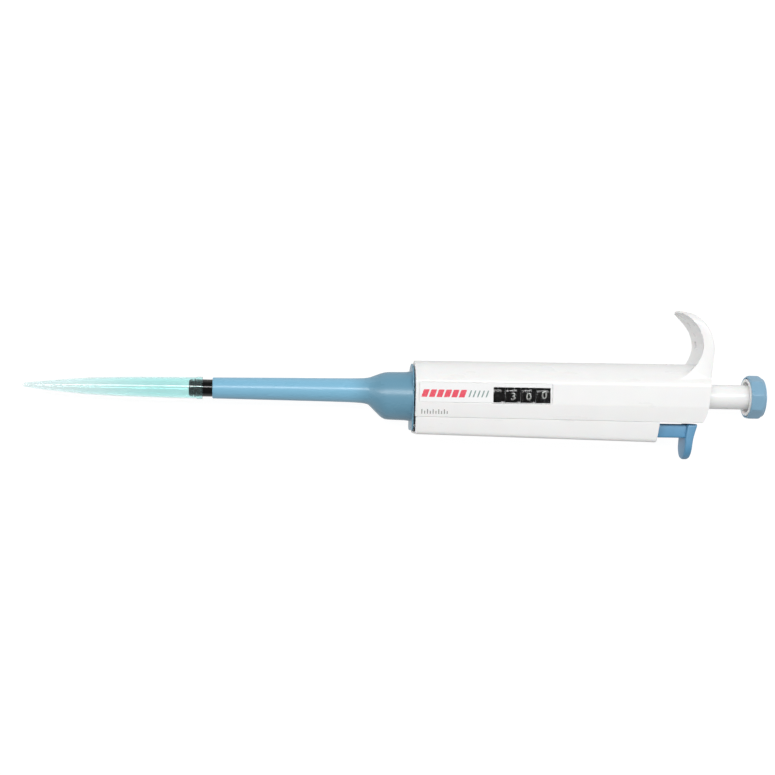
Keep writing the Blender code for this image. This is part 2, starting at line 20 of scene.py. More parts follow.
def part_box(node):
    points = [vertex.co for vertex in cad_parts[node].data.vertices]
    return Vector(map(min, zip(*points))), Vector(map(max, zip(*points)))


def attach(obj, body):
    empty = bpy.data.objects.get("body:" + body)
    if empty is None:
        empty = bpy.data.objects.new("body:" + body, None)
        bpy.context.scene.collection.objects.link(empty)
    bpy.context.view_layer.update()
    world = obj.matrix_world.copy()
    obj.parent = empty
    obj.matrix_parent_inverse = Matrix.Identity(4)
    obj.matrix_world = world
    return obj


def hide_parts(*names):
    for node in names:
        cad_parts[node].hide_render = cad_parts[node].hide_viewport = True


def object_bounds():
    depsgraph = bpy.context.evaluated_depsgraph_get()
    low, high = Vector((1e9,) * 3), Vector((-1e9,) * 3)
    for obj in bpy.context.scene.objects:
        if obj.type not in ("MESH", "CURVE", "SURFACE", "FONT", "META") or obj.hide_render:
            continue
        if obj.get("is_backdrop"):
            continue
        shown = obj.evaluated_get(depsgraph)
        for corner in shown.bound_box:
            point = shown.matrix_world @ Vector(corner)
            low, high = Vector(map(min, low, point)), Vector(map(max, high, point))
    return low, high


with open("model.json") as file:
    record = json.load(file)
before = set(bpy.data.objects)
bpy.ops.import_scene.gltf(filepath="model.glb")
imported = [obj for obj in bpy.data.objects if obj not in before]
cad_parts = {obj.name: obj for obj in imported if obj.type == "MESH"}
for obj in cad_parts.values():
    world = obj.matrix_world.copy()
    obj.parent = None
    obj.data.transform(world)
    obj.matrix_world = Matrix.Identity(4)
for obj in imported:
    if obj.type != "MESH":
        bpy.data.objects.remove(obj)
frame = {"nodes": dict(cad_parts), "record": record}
CAD_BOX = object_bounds()

Flat = tuple[float, float]
Point = tuple[float, float, float]
Ring = list[Point]
Colour = tuple[float, float, float]
Socket = bpy.types.NodeSocket

MM = 0.001
CORNER_STEPS = 5
LOG = logging.getLogger("micropipette")
PAINTS: dict[str, bpy.types.Material] = {}

# How fine each kind of surface detail is, in features to a metre.
FLOW_CLOUDS, SPECKS, RUBBING, PEEL, SCRATCHES = 90.0, 700.0, 260.0, 1500.0, 2600.0
TINT_CLOUDS, HAZE, FLOW_LINES = 300.0, 500.0, 1800.0
STAINS, DULLING, TOOL_MARKS = 200.0, 400.0, 6000.0
DUST, GREASE, RUBBER_GRAIN = 900.0, 350.0, 4000.0
INK_WEAR, INK_GLOSS, INK_TOOTH = 1400.0, 800.0, 5000.0
TABLE_CLOUDS = 6.0


class Body(Enum):
    """The moving bodies that pieces ride on."""

    HANDLE = "handle"
    EJECTOR = "ejector"
    TIP = "tip"
    PLUNGER = "plunger"
    ONES = "ones"
    TENS = "tens"
    HUNDREDS = "hundreds"
    THOUSANDS = "thousands"


# ---- finishes ----------------------------------------------------------------------------
class NodeBoard:
    """A material's node tree, with the few nodes that every finish here is wired from."""

    def __init__(self, name: str) -> None:
        """Starts a Principled material.

        Args:
            name: The material's name.
        """
        self.material = bpy.data.materials.new(name)
        self.material.use_nodes = True
        self.tree = self.material.node_tree
        self.shader = self.tree.nodes["Principled BSDF"]
        self.coords = self.tree.nodes.new("ShaderNodeTexCoord").outputs["Object"]

    def wire(self, source: Socket, target: Socket) -> None:
        """Joins two sockets."""
        self.tree.links.new(source, target)

    def fix(self, **values: object) -> None:
        """Sets the shader's own sockets, named with underscores for spaces."""
        for key, value in values.items():
            self.shader.inputs[key.replace("_", " ")].default_value = value

    def stretched(self, scale: Point) -> Socket:
        """Object coordinates stretched along each axis.

        Args:
            scale: The stretch along x, y and z.

        Returns:
            The stretched coordinates.
        """
        mapping = self.tree.nodes.new("ShaderNodeMapping")
        mapping.inputs["Scale"].default_value = scale
        self.wire(self.coords, mapping.inputs["Vector"])
        return mapping.outputs["Vector"]

    def noise(self, per_metre: float, detail: float = 3.0, scale: Point = (1, 1, 1)) -> Socket:
        """Cloudy noise.

        Args:
            per_metre: How many clouds there are in a metre.
            detail: How many finer layers it has.
            scale: The stretch along each axis.

        Returns:
            The noise's value, about 0.3 to 0.7.
        """
        noise = self.tree.nodes.new("ShaderNodeTexNoise")
        noise.inputs["Scale"].default_value = per_metre
        noise.inputs["Detail"].default_value = detail
        self.wire(self.stretched(scale), noise.inputs["Vector"])
        return noise.outputs["Fac"]

    def cells(self, per_metre: float) -> Socket:
        """Scattered points, for pits and specks.

        Args:
            per_metre: How many points there are along a metre.

        Returns:
            The distance to the nearest point.
        """
        cells = self.tree.nodes.new("ShaderNodeTexVoronoi")
        cells.inputs["Scale"].default_value = per_metre
        self.wire(self.coords, cells.inputs["Vector"])
        return cells.outputs["Distance"]

    def along(self, axis: int) -> Socket:
        """One of the object coordinates.

        Args:
            axis: 0, 1 or 2, for x, y or z.

        Returns:
            The coordinate, in metres.
        """
        split = self.tree.nodes.new("ShaderNodeSeparateXYZ")
        self.wire(self.coords, split.inputs["Vector"])
        return split.outputs[axis]

    def span(self, source: Socket, old: Flat, new: Flat) -> Socket:
        """A value carried smoothly from one range to another, and held at its ends.

        Args:
            source: The value.
            old: The range it comes from.
            new: The range it goes to.

        Returns:
            The carried value.
        """
        span = self.tree.nodes.new("ShaderNodeMapRange")
        span.interpolation_type = "SMOOTHSTEP"
        for key, value in zip(("From Min", "From Max", "To Min", "To Max"), (*old, *new)):
            span.inputs[key].default_value = value
        self.wire(source, span.inputs["Value"])
        return span.outputs["Result"]

    def blend(self, factor: Socket | float, low: Colour | Socket,
              high: Colour | Socket) -> Socket:
        """A colour between two.

        Args:
            factor: 0 for low, 1 for high. A number, or a socket that gives one.
            low: A colour, or a socket that gives one.
            high: The same.

        Returns:
            The mixed colour.
        """
        mix = self.tree.nodes.new("ShaderNodeMix")
        mix.data_type = "RGBA"
        if isinstance(factor, float):
            mix.inputs["Factor"].default_value = factor
        else:
            self.wire(factor, mix.inputs["Factor"])
        for side, colour in (("A", low), ("B", high)):
            if isinstance(colour, tuple):
                mix.inputs[side].default_value = (*colour, 1.0)
            else:
                self.wire(colour, mix.inputs[side])
        return mix.outputs["Result"]

    def bump(self, height: Socket, depth_mm: float, under: Socket | None = None) -> Socket:
        """Relief on the surface.

        Args:
            height: The relief, 0 to 1.
            depth_mm: Its full height.
            under: The relief that this one lies on.

        Returns:
            The normal, also wired to the shader.
        """
        bump = self.tree.nodes.new("ShaderNodeBump")
        bump.inputs["Strength"].default_value = 1.0
        bump.inputs["Distance"].default_value = depth_mm * MM
        self.wire(height, bump.inputs["Height"])
        if under is not None:
            self.wire(under, bump.inputs["Normal"])
        self.wire(bump.outputs["Normal"], self.shader.inputs["Normal"])
        return bump.outputs["Normal"]


def tinted(colour: Colour, factor: float) -> Colour:
    """A colour made lighter or darker."""
    return tuple(min(1.0, part * factor) for part in colour)


@dataclass(frozen=True)
class Moulded:
    """Injection-moulded plastic: orange peel, flow mottling and fine handling scratches.

    Attributes:
        name: The material's name.
        colour: Linear base colour.
        roughness: Middle roughness.
        mottle: How much lighter and darker the flow clouds are.
        peel_mm: Depth of the orange peel.
        scratch_mm: Depth of the fine scratches along the piece.
        scatter: Subsurface weight, for milky plastics.
        ends: Object x, in metres, between which the colour runs from painted light to painted shade.
        painted_lit_shaded: How much lighter it is painted before them, as a painted highlight, and
            how much darker past them, as painted shade.
        shading_share: How much of the colour the painted light and shade takes over.
    """

    name: str
    colour: Colour
    roughness: float
    mottle: float = 0.02
    peel_mm: float = 0.006
    scratch_mm: float = 0.002
    scatter: float = 0.0
    ends: Flat = (0.0, 1.0)
    painted_lit_shaded: Flat = (1.0, 1.0)
    shading_share: float = 0.85

    def make(self) -> bpy.types.Material:
        """Wires the material.

        Returns:
            The material.
        """
        board = NodeBoard(self.name)
        clouds = board.span(board.noise(FLOW_CLOUDS, 4.0), (0.35, 0.65), (0.0, 1.0))
        low, high = tinted(self.colour, 1 - self.mottle), tinted(self.colour, 1 + self.mottle)
        flowing = board.blend(clouds, low, high)
        # Painted light and shade along x: thin is the painted-highlight colour before the ends,
        # thick the painted-shade colour past them.
        if self.painted_lit_shaded != (1.0, 1.0):
            thin, thick = (tinted(self.colour, factor) for factor in self.painted_lit_shaded)
            depth = board.span(board.along(0), self.ends, (0.0, 1.0))
            flowing = board.blend(self.shading_share, flowing, board.blend(depth, thin, thick))
        specks = board.span(board.cells(SPECKS), (0.05, 0.12), (0.35, 0.0))
        base = board.blend(specks, flowing, tinted(self.colour, 1 - 3 * self.mottle))
        board.wire(base, board.shader.inputs["Base Color"])
        rub = board.noise(RUBBING, 5.0, (0.25, 1.0, 1.0))
        rough = board.span(rub, (0.3, 0.7), (self.roughness - 0.03, self.roughness + 0.04))
        board.wire(rough, board.shader.inputs["Roughness"])
        peel = board.bump(board.noise(PEEL, 2.0), self.peel_mm)
        board.bump(board.noise(SCRATCHES, 2.0, (0.03, 1.0, 1.0)), self.scratch_mm, peel)
        board.fix(IOR=1.49, Subsurface_Weight=self.scatter, Subsurface_Scale=0.6 * MM)
        return board.material


@dataclass(frozen=True)
class Clear:
    """See-through plastic with flow lines, tinted more towards one end.

    Attributes:
        name: The material's name.
        thin: Colour at the low end of the span.
        thick: Colour at the high end of the span.
        reach: Object x of the two ends, in metres.
        roughness: Surface roughness.
        flow_mm: Depth of the flow lines.
        absorb: Colour of the plastic in its depth.
        density: How strongly it absorbs, per metre. 0 leaves it clear.
        clarity: Share of light that goes through rather than being scattered.
    """

    name: str
    thin: Colour
    thick: Colour
    reach: Flat
    roughness: float
    flow_mm: float = 0.003
    absorb: Colour = (1.0, 1.0, 1.0)
    density: float = 0.0
    clarity: float = 1.0

    def make(self) -> bpy.types.Material:
        """Wires the material.

        Returns:
            The material.
        """
        board = NodeBoard(self.name)
        tint = board.blend(board.span(board.along(0), self.reach, (0.0, 1.0)), self.thin, self.thick)
        cloud = board.span(board.noise(TINT_CLOUDS, 3.0), (0.4, 0.7), (0.0, 0.12))
        board.wire(
            board.blend(cloud, tint, tinted(self.thick, 0.9)), board.shader.inputs["Base Color"]
        )
        haze = board.span(
            board.noise(HAZE, 3.0, (0.3, 1, 1)), (0.3, 0.7), (self.roughness, 2 * self.roughness)
        )
        board.wire(haze, board.shader.inputs["Roughness"])
        board.bump(board.noise(FLOW_LINES, 2.0, (0.04, 1.0, 1.0)), self.flow_mm)
        board.fix(Transmission_Weight=self.clarity, IOR=1.45)
        if self.density > 0:
            depth = board.tree.nodes.new("ShaderNodeVolumeAbsorption")
            depth.inputs["Color"].default_value = (*self.absorb, 1.0)
            depth.inputs["Density"].default_value = self.density
            output = board.tree.nodes["Material Output"]
            board.wire(depth.outputs["Volume"], output.inputs["Volume"])
        return board.material


@dataclass(frozen=True)
class Machined:
    """Turned or ground metal, with fine rings round the piece and a little staining.

    Attributes:
        name: The material's name.
        colour: Linear base colour.
        roughness: Middle roughness.
        rings_mm: Depth of the tool marks.
    """

    name: str
    colour: Colour
    roughness: float
    rings_mm: float = 0.003

    def make(self) -> bpy.types.Material:
        """Wires the material.

        Returns:
            The material.
        """
        board = NodeBoard(self.name)
        stain = board.span(board.noise(STAINS, 5.0), (0.4, 0.7), (0.0, 0.5))
        board.wire(
            board.blend(stain, self.colour, tinted(self.colour, 0.8)),
            board.shader.inputs["Base Color"],
        )
        rough = board.span(
            board.noise(DULLING, 4.0), (0.3, 0.7), (self.roughness - 0.05, self.roughness + 0.1)
        )
        board.wire(rough, board.shader.inputs["Roughness"])
        board.bump(board.noise(TOOL_MARKS, 2.0, (1.0, 0.02, 0.02)), self.rings_mm)
        board.fix(Metallic=1.0)
        return board.material


@dataclass(frozen=True)
class Rubber:
    """Matt black sealing rubber with a fine grain and a trace of grease."""

    name: str
    colour: Colour

    def make(self) -> bpy.types.Material:
        """Wires the material.

        Returns:
            The material.
        """
        board = NodeBoard(self.name)
        dust = board.span(board.noise(DUST, 5.0), (0.5, 0.75), (0.0, 0.3))
        base = board.blend(dust, self.colour, tinted(self.colour, 2.5))
        board.wire(base, board.shader.inputs["Base Color"])
        grease = board.span(board.noise(GREASE, 2.0), (0.35, 0.65), (0.35, 0.7))
        board.wire(grease, board.shader.inputs["Roughness"])
        board.bump(board.noise(RUBBER_GRAIN, 3.0), 0.01)
        return board.material


@dataclass(frozen=True)
class Printed:
    """Pad-printed ink, a little uneven, with a fine tooth and soft wear."""

    name: str
    colour: Colour
    worn: Colour

    def make(self) -> bpy.types.Material:
        """Wires the material.

        Returns:
            The material.
        """
        board = NodeBoard(self.name)
        wear = board.span(board.noise(INK_WEAR, 5.0), (0.52, 0.75), (0.0, 0.55))
        base = board.blend(wear, self.colour, self.worn)
        board.wire(base, board.shader.inputs["Base Color"])
        rough = board.span(board.noise(INK_GLOSS, 3.0), (0.3, 0.7), (0.3, 0.5))
        board.wire(rough, board.shader.inputs["Roughness"])
        board.bump(board.noise(INK_TOOTH, 2.0), 0.002)
        return board.material


class Look(Enum):
    """Every finish on the pipette."""

    WHITE = Moulded("white_shell", (0.875, 0.875, 0.868), 0.30, 0.006, 0.0015, 0.0008, 0.05)
    FILM = Moulded("glossy_film", (0.90, 0.905, 0.905), 0.22, 0.005, 0.001, 0.0005)
    ROD = Moulded("white_rod", (0.92, 0.92, 0.915), 0.26, 0.006, 0.0015, 0.001, 0.05)
    # The sleeve is painted lighter as a painted highlight, and the bell darker as painted shade.
    BLUE = Moulded("blue_ejector", (0.195, 0.42, 0.575), 0.28, 0.03, 0.003, 0.002,
                   ends=(-0.088, -0.074), painted_lit_shaded=(1.22, 0.72))
    # A darker copy of the ejector's blue for the stem and tab: painted shade of the handle over
    # them.
    TAB_SHADED = Moulded("blue_tab_painted_shade", (0.11, 0.30, 0.49), 0.36, 0.03, 0.003)
    CAP = Moulded("blue_button", (0.235, 0.42, 0.57), 0.30, 0.03, 0.003)
    BLACK = Moulded("black_nozzle", (0.005, 0.005, 0.005), 0.14, 0.2, 0.002, 0.002)
    DRUM = Moulded("black_drum", (0.006, 0.006, 0.007), 0.16, 0.25, 0.003, 0.002)
    GREY = Moulded("grey_moulding", (0.45, 0.46, 0.47), 0.45, 0.05)
    CREAM = Moulded("cream_polymer", (0.80, 0.78, 0.70), 0.45, 0.04)
    LENS = Clear("lens_plastic", (0.99, 0.99, 0.99), (0.98, 0.99, 0.99), (-0.03, 0.0), 0.01, 0.0005)
    TEAL = Clear("teal_tip", (0.98, 0.99, 0.99), (0.76, 0.955, 0.945), (-0.215, -0.16), 0.03,
                 0.0002, absorb=(0.35, 0.93, 0.93), density=220.0, clarity=0.96)
    RUBBER = Rubber("greased_rubber", (0.012, 0.012, 0.012))
    STEEL = Machined("ground_steel", (0.62, 0.62, 0.63), 0.25)
    BRASS = Machined("turned_brass", (0.62, 0.45, 0.20), 0.3)
    FIGURE = Printed("white_figures", (0.80, 0.80, 0.78), (0.35, 0.35, 0.35))
    RED = Printed("red_ink", (0.78, 0.055, 0.10), (0.85, 0.35, 0.38))
    SAGE = Printed("grey_green_ink", (0.20, 0.30, 0.28), (0.55, 0.62, 0.60))
    SCALE = Printed("grey_ink", (0.28, 0.27, 0.26), (0.60, 0.60, 0.60))

    def material(self) -> bpy.types.Material:
        """The finish's material, made once.

        Returns:
            The material.
        """
        if self.name not in PAINTS:
            PAINTS[self.name] = self.value.make()
        return PAINTS[self.name]


# ---- meshes ------------------------------------------------------------------------------
@dataclass(frozen=True)
class Datum:
    """Where the drawing's zero lies in the frame.

    Attributes:
        start: Frame x of the handle's lower end, in metres.
        axis: Frame z of the plunger axis, in metres.
    """

    start: float
    axis: float

    @classmethod
    def read(cls) -> "Datum":
        """Reads the datum from the frame's own nodes."""
        low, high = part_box("plunger_stem")
        return cls(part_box("handle_shell")[0][0], (low[2] + high[2]) / 2)

    def place(self, point: Point) -> Vector:
        """A point of the drawing, in the frame."""
        x, y, z = point
        return Vector((self.start + x * MM, y * MM, self.axis + z * MM))


DATUM = Datum.read()


def softened(path: Sequence[Flat], setbacks: Sequence[float], closed: bool) -> list[Flat]:
    """Rounds a path's corners.

    Args:
        path: The corners.
        setbacks: How far from each corner its curve starts. 0 leaves the corner.
        closed: Whether the last corner joins the first.

    Returns:
        The rounded path.
    """
    smooth: list[Flat] = []
    ends = () if closed else (0, len(path) - 1)
    for i, corner in enumerate(path):
        if setbacks[i] <= 0 or i in ends:
            smooth.append(corner)
            continue
        here = Vector(corner)
        back = Vector(path[i - 1]) - here
        ahead = Vector(path[(i + 1) % len(path)]) - here
        reach = min(setbacks[i], 0.47 * back.length, 0.47 * ahead.length)
        first, last = here + back.normalized() * reach, here + ahead.normalized() * reach
        for t in steps_between(0.0, 1.0, CORNER_STEPS):
            spot = first * (1 - t) ** 2 + here * (2 * t * (1 - t)) + last * t ** 2
            smooth.append((spot.x, spot.y))
    return smooth


def all_soft(path: Sequence[Flat], setback: float, closed: bool) -> list[Flat]:
    """Rounds every corner of a path alike."""
    return softened(path, [setback] * len(path), closed)


def through(points: Sequence[Flat], x: float) -> float:
    """Height of a smooth curve through points, which never overshoots them.

    Args:
        points: What the curve goes through, with rising x.
        x: Where its height is wanted. Past an end, the end's height holds.

    Returns:
        The height.
    """
    xs, ys = [p[0] for p in points], [p[1] for p in points]
    if x <= xs[0]:
        return ys[0]
    if x >= xs[-1]:
        return ys[-1]
    slopes = [(b - a) / (d - c) for a, b, c, d in zip(ys, ys[1:], xs, xs[1:])]
    leans = [slopes[0]]
    for left, right in zip(slopes, slopes[1:]):
        leans.append(0.0 if left * right <= 0 else 2 * left * right / (left + right))
    leans.append(slopes[-1])
    i = max(k for k in range(len(xs) - 1) if xs[k] <= x)
    wide = xs[i + 1] - xs[i]
    t = (x - xs[i]) / wide
    return (
        ys[i] * (1 + 2 * t) * (1 - t) ** 2 + wide * leans[i] * t * (1 - t) ** 2
        + ys[i + 1] * t * t * (3 - 2 * t) + wide * leans[i + 1] * t * t * (t - 1)
    )


def bent(points: Sequence[Flat], part: float) -> Vector:
    """A place on a smooth curve through points.

    Args:
        points: What the curve goes through, evenly spaced or nearly so.
        part: 0 at the first point, 1 at the last.

    Returns:
        The place, as (x, y).
    """
    last = len(points) - 1
    i = min(last - 1, int(part * last))
    t = part * last - i
    a, b, c, d = (Vector(points[min(last, max(0, k))]) for k in (i - 1, i, i + 1, i + 2))
    return 0.5 * (
        2 * b + (c - a) * t + (2 * a - 5 * b + 4 * c - d) * t * t
        + (3 * b - a - 3 * c + d) * t ** 3
    )


def eased(value: float) -> float:
    """A value carried smoothly from 0 to 1, and held outside."""
    held = min(1.0, max(0.0, value))
    return held * held * (3 - 2 * held)


def steps_between(start: float, end: float, count: int) -> list[float]:
    """Evenly spaced values, with both ends."""
    return [start + (end - start) * i / count for i in range(count + 1)]


def circle(x: float, radius: float, sides: int = 96) -> Ring:
    """Points round the plunger axis."""
    turns = [math.tau * i / sides for i in range(sides)]
    return [(x, radius * math.cos(a), radius * math.sin(a)) for a in turns]


def rounded_box(size: Flat, setback: float, centre: Flat = (0.0, 0.0)) -> list[Flat]:
    """A rectangle with rounded corners.

    Args:
        size: Its two sides.
        setback: How far from each corner its curve starts.
        centre: Its middle.

    Returns:
        The path round it.
    """
    (wide, high), (cx, cy) = size, centre
    corners = [(-1, -1), (1, -1), (1, 1), (-1, 1)]
    path = [(cx + a * wide / 2, cy + b * high / 2) for a, b in corners]
    return all_soft(path, setback, True)


def plan(xs: Flat, ys: Flat, z: float, setback: float, inset: float = 0.0) -> Ring:
    """A level rectangle with rounded corners.

    Args:
        xs: Where it starts and ends along the axis.
        ys: Its lower and upper edge.
        z: Its height over the axis.
        setback: How far from each corner its curve starts.
        inset: How far all its edges are drawn in.

    Returns:
        The points round it.
    """
    size = (xs[1] - xs[0] - 2 * inset, ys[1] - ys[0] - 2 * inset)
    centre = (sum(xs) / 2, sum(ys) / 2)
    return [(x, y, z) for x, y in rounded_box(size, setback, centre)]


class Bench:
    """Makes meshes in the frame, cuts them, and dresses them as pieces."""

    sharp = math.radians(34)

    @classmethod
    def mesh(cls, name: str, points: Iterable[Point], faces: Iterable[Sequence[int]],
             place: Callable[[Point], Vector] = DATUM.place) -> bpy.types.Object:
        """A smooth-shaded object.

        Args:
            name: The object's name.
            points: Its points on the drawing.
            faces: Its faces, as point numbers.
            place: Turns a point into the frame's metres.

        Returns:
            The object, with its faces pointing out.
        """
        data = bpy.data.meshes.new(name)
        shape = bmesh.new()
        verts = [shape.verts.new(place(point)) for point in points]
        for face in faces:
            shape.faces.new([verts[i] for i in face])
        bmesh.ops.recalc_face_normals(shape, faces=shape.faces)
        shape.to_mesh(data)
        shape.free()
        data.shade_smooth()
        data.set_sharp_from_angle(angle=cls.sharp)
        made = bpy.data.objects.new(name, data)
        bpy.context.scene.collection.objects.link(made)
        return made

    @classmethod
    def skin(cls, name: str, rings: Sequence[Ring], closed: bool = False) -> bpy.types.Object:
        """A skin over rings of points.

        Args:
            name: The object's name.
            rings: Rings with the same number of points.
            closed: Whether the last ring joins the first. Otherwise both ends are capped.

        Returns:
            The object.
        """
        count = len(rings[0])
        faces: list[tuple[int, ...]] = []
        for i in range(len(rings) if closed else len(rings) - 1):
            low, high = i * count, (i + 1) % len(rings) * count
            for j in range(count):
                k = (j + 1) % count
                faces.append((low + j, low + k, high + k, high + j))
        if not closed:
            faces.append(tuple(range(count)))
            faces.append(tuple(range((len(rings) - 1) * count, len(rings) * count)))
        return cls.mesh(name, [point for ring in rings for point in ring], faces)

    @classmethod
    def plates(cls, name: str, plans: Sequence[Sequence[Flat]], low: float, high: float,
               place: Callable[[Point], Vector] = DATUM.place) -> bpy.types.Object:
        """Thin upright plates in one object.

        Args:
            name: The object's name.
            plans: The plates' outlines.
            low: Height of their undersides.
            high: Height of their tops.
            place: Turns a point into the frame's metres.

        Returns:
            The object.
        """
        points: list[Point] = []
        faces: list[tuple[int, ...]] = []
        for plan in plans:
            first, size = len(points), len(plan)
            points += [(a, b, z) for z in (low, high) for a, b in plan]
            faces.append(tuple(range(first, first + size)))
            faces.append(tuple(range(first + size, first + 2 * size)))
            for j in range(size):
                k = (j + 1) % size
                faces.append((first + j, first + k, first + size + k, first + size + j))
        return cls.mesh(name, points, faces, place)

    @classmethod
    def turned(cls, name: str, profile: Sequence[Flat], soft: float, closed: bool,
               sides: int = 96) -> bpy.types.Object:
        """A round piece.

        Args:
            name: The object's name.
            profile: Its (x, radius) corners.
            soft: How far each corner is rounded back.
            closed: True for a piece with a bore, whose profile comes back to its start.
            sides: Points round it.

        Returns:
            The object.
        """
        path = all_soft(profile, soft, closed)
        return cls.skin(name, [circle(x, r, sides) for x, r in path], closed)

    @staticmethod
    def settle(target: bpy.types.Object) -> None:
        """Makes a piece's modifiers part of its mesh.

        Args:
            target: The piece.
        """
        graph = bpy.context.evaluated_depsgraph_get()
        done = bpy.data.meshes.new_from_object(target.evaluated_get(graph))
        target.modifiers.clear()
        target.data = done

    @classmethod
    def combine(cls, target: bpy.types.Object, tool: bpy.types.Object, operation: str) -> None:
        """Joins a tool to a piece or cuts it out, and throws the tool away.

        Args:
            target: The piece.
            tool: The object to join or cut with.
            operation: UNION or DIFFERENCE.
        """
        step = target.modifiers.new("combine", "BOOLEAN")
        step.object, step.operation, step.solver = tool, operation, "EXACT"
        cls.settle(target)
        bpy.data.objects.remove(tool, do_unlink=True)
        target.data.shade_smooth()
        target.data.set_sharp_from_angle(angle=cls.sharp)

    @staticmethod
    def dress(piece: bpy.types.Object, look: Look, body: Body, slot: str,
              *nodes: str) -> bpy.types.Object:
        """Gives a piece its finish, and its place among the bodies.

        Args:
            piece: The object.
            look: Its finish.
            body: What it moves with.
            slot: The record's material slot it belongs to. Not used.
            nodes: The CAD nodes it stands for.

        Returns:
            The piece.
        """
        piece.data.materials.clear()
        piece.data.materials.append(look.material())
        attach(piece, body.value)
        if nodes:
            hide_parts(*nodes)
        LOG.info("%s rides on %s, %d faces", piece.name, body.value, len(piece.data.polygons))
        return piece


# ---- handle ------------------------------------------------------------------------------
@dataclass
class Outline:
    """The handle's cross-section, which tapers evenly along the axis.

    Attributes:
        half_depth: Plunger axis to the flat flanks.
        crown_line: Height of the crown at x = 0, and its slope.
        seam_line: Height of the joint with the ejector cover, and its slope.
        base_line: Height of the cover's underside, and its slope.
        facet: Heights of the flat flank's two edges.
        seam_half: Half depth at the joint.
        base_half: Half depth at the cover's underside.
        crown_steps: Pieces in the crown's arc.
    """

    half_depth: float = 10.3
    crown_line: Flat = (12.77, 0.005)
    seam_line: Flat = (-9.96, -0.0071)
    base_line: Flat = (-17.2, -0.019)
    facet: Flat = (4.2, -4.35)
    seam_half: float = 9.6
    base_half: float = 8.7
    crown_steps: int = 48

    @staticmethod
    def height(line: Flat, x: float) -> float:
        """Height of a line at x."""
        return line[0] + line[1] * x

    def crown_arc(self, x: float) -> Flat:
        """The crown's arc, which runs from flank to flank over its top.

        Args:
            x: Where it is.

        Returns:
            Height of the arc's centre, and its radius.
        """
        top = self.height(self.crown_line, x)
        drop = top - self.facet[0]
        radius = (drop ** 2 + self.half_depth ** 2) / (2 * drop)
        return top - radius, radius

    def crown(self, x: float, inset: float = 0.0) -> list[Flat]:
        """The rounded crown, from the front flank over the top to the rear flank.

        Args:
            x: Where it is.
            inset: How far it is drawn in.

        Returns:
            Its points, as (y, z).
        """
        middle, radius = self.crown_arc(x)
        edge = math.atan2(self.half_depth, self.facet[0] - middle)
        reach = radius - inset
        turns = steps_between(edge, -edge, self.crown_steps)
        return [(middle + reach * math.cos(a), reach * math.sin(a)) for a in turns]

    def crown_height(self, x: float, z: float) -> float:
        """Height of the crown at x, at depth z."""
        middle, radius = self.crown_arc(x)
        return middle + math.sqrt(max(0.0, radius ** 2 - z ** 2))

    def shell(self, x: float, inset: float = 0.0) -> Ring:
        """The handle's outline without its cover.

        Args:
            x: Where it is.
            inset: How far it is drawn in.

        Returns:
            The points round it.
        """
        arc = self.crown(x, inset)
        low = self.height(self.seam_line, x) + inset
        half, seam_half = self.half_depth - inset, self.seam_half - inset
        path = arc + [(self.facet[1], -half), (low, -seam_half), (low, seam_half),
                      (self.facet[1], half)]
        setbacks = [0.4] + [0.0] * (len(arc) - 2) + [0.4, 0.4, 0.2, 0.2, 0.4]
        return [(x, y, z) for y, z in softened(path, setbacks, True)]

    def whole(self, x: float, inset: float) -> Ring:
        """The outline of handle and cover together.

        Args:
            x: Where it is.
            inset: How far it is drawn in.

        Returns:
            The points round it.
        """
        arc = self.crown(x, inset)
        low, seam = self.height(self.base_line, x) + inset, self.height(self.seam_line, x)
        half, seam_half = self.half_depth - inset, self.seam_half - inset
        base_half = self.base_half - inset
        side = [(self.facet[1], half), (seam, seam_half), (low, base_half)]
        path = arc + [(y, -z) for y, z in side] + side[::-1]
        setbacks = [0.5] + [0.0] * (len(arc) - 2) + [0.5, 0.5, 0.5, 1.6, 1.6, 0.5, 0.5]
        return [(x, y, z) for y, z in softened(path, setbacks, True)]


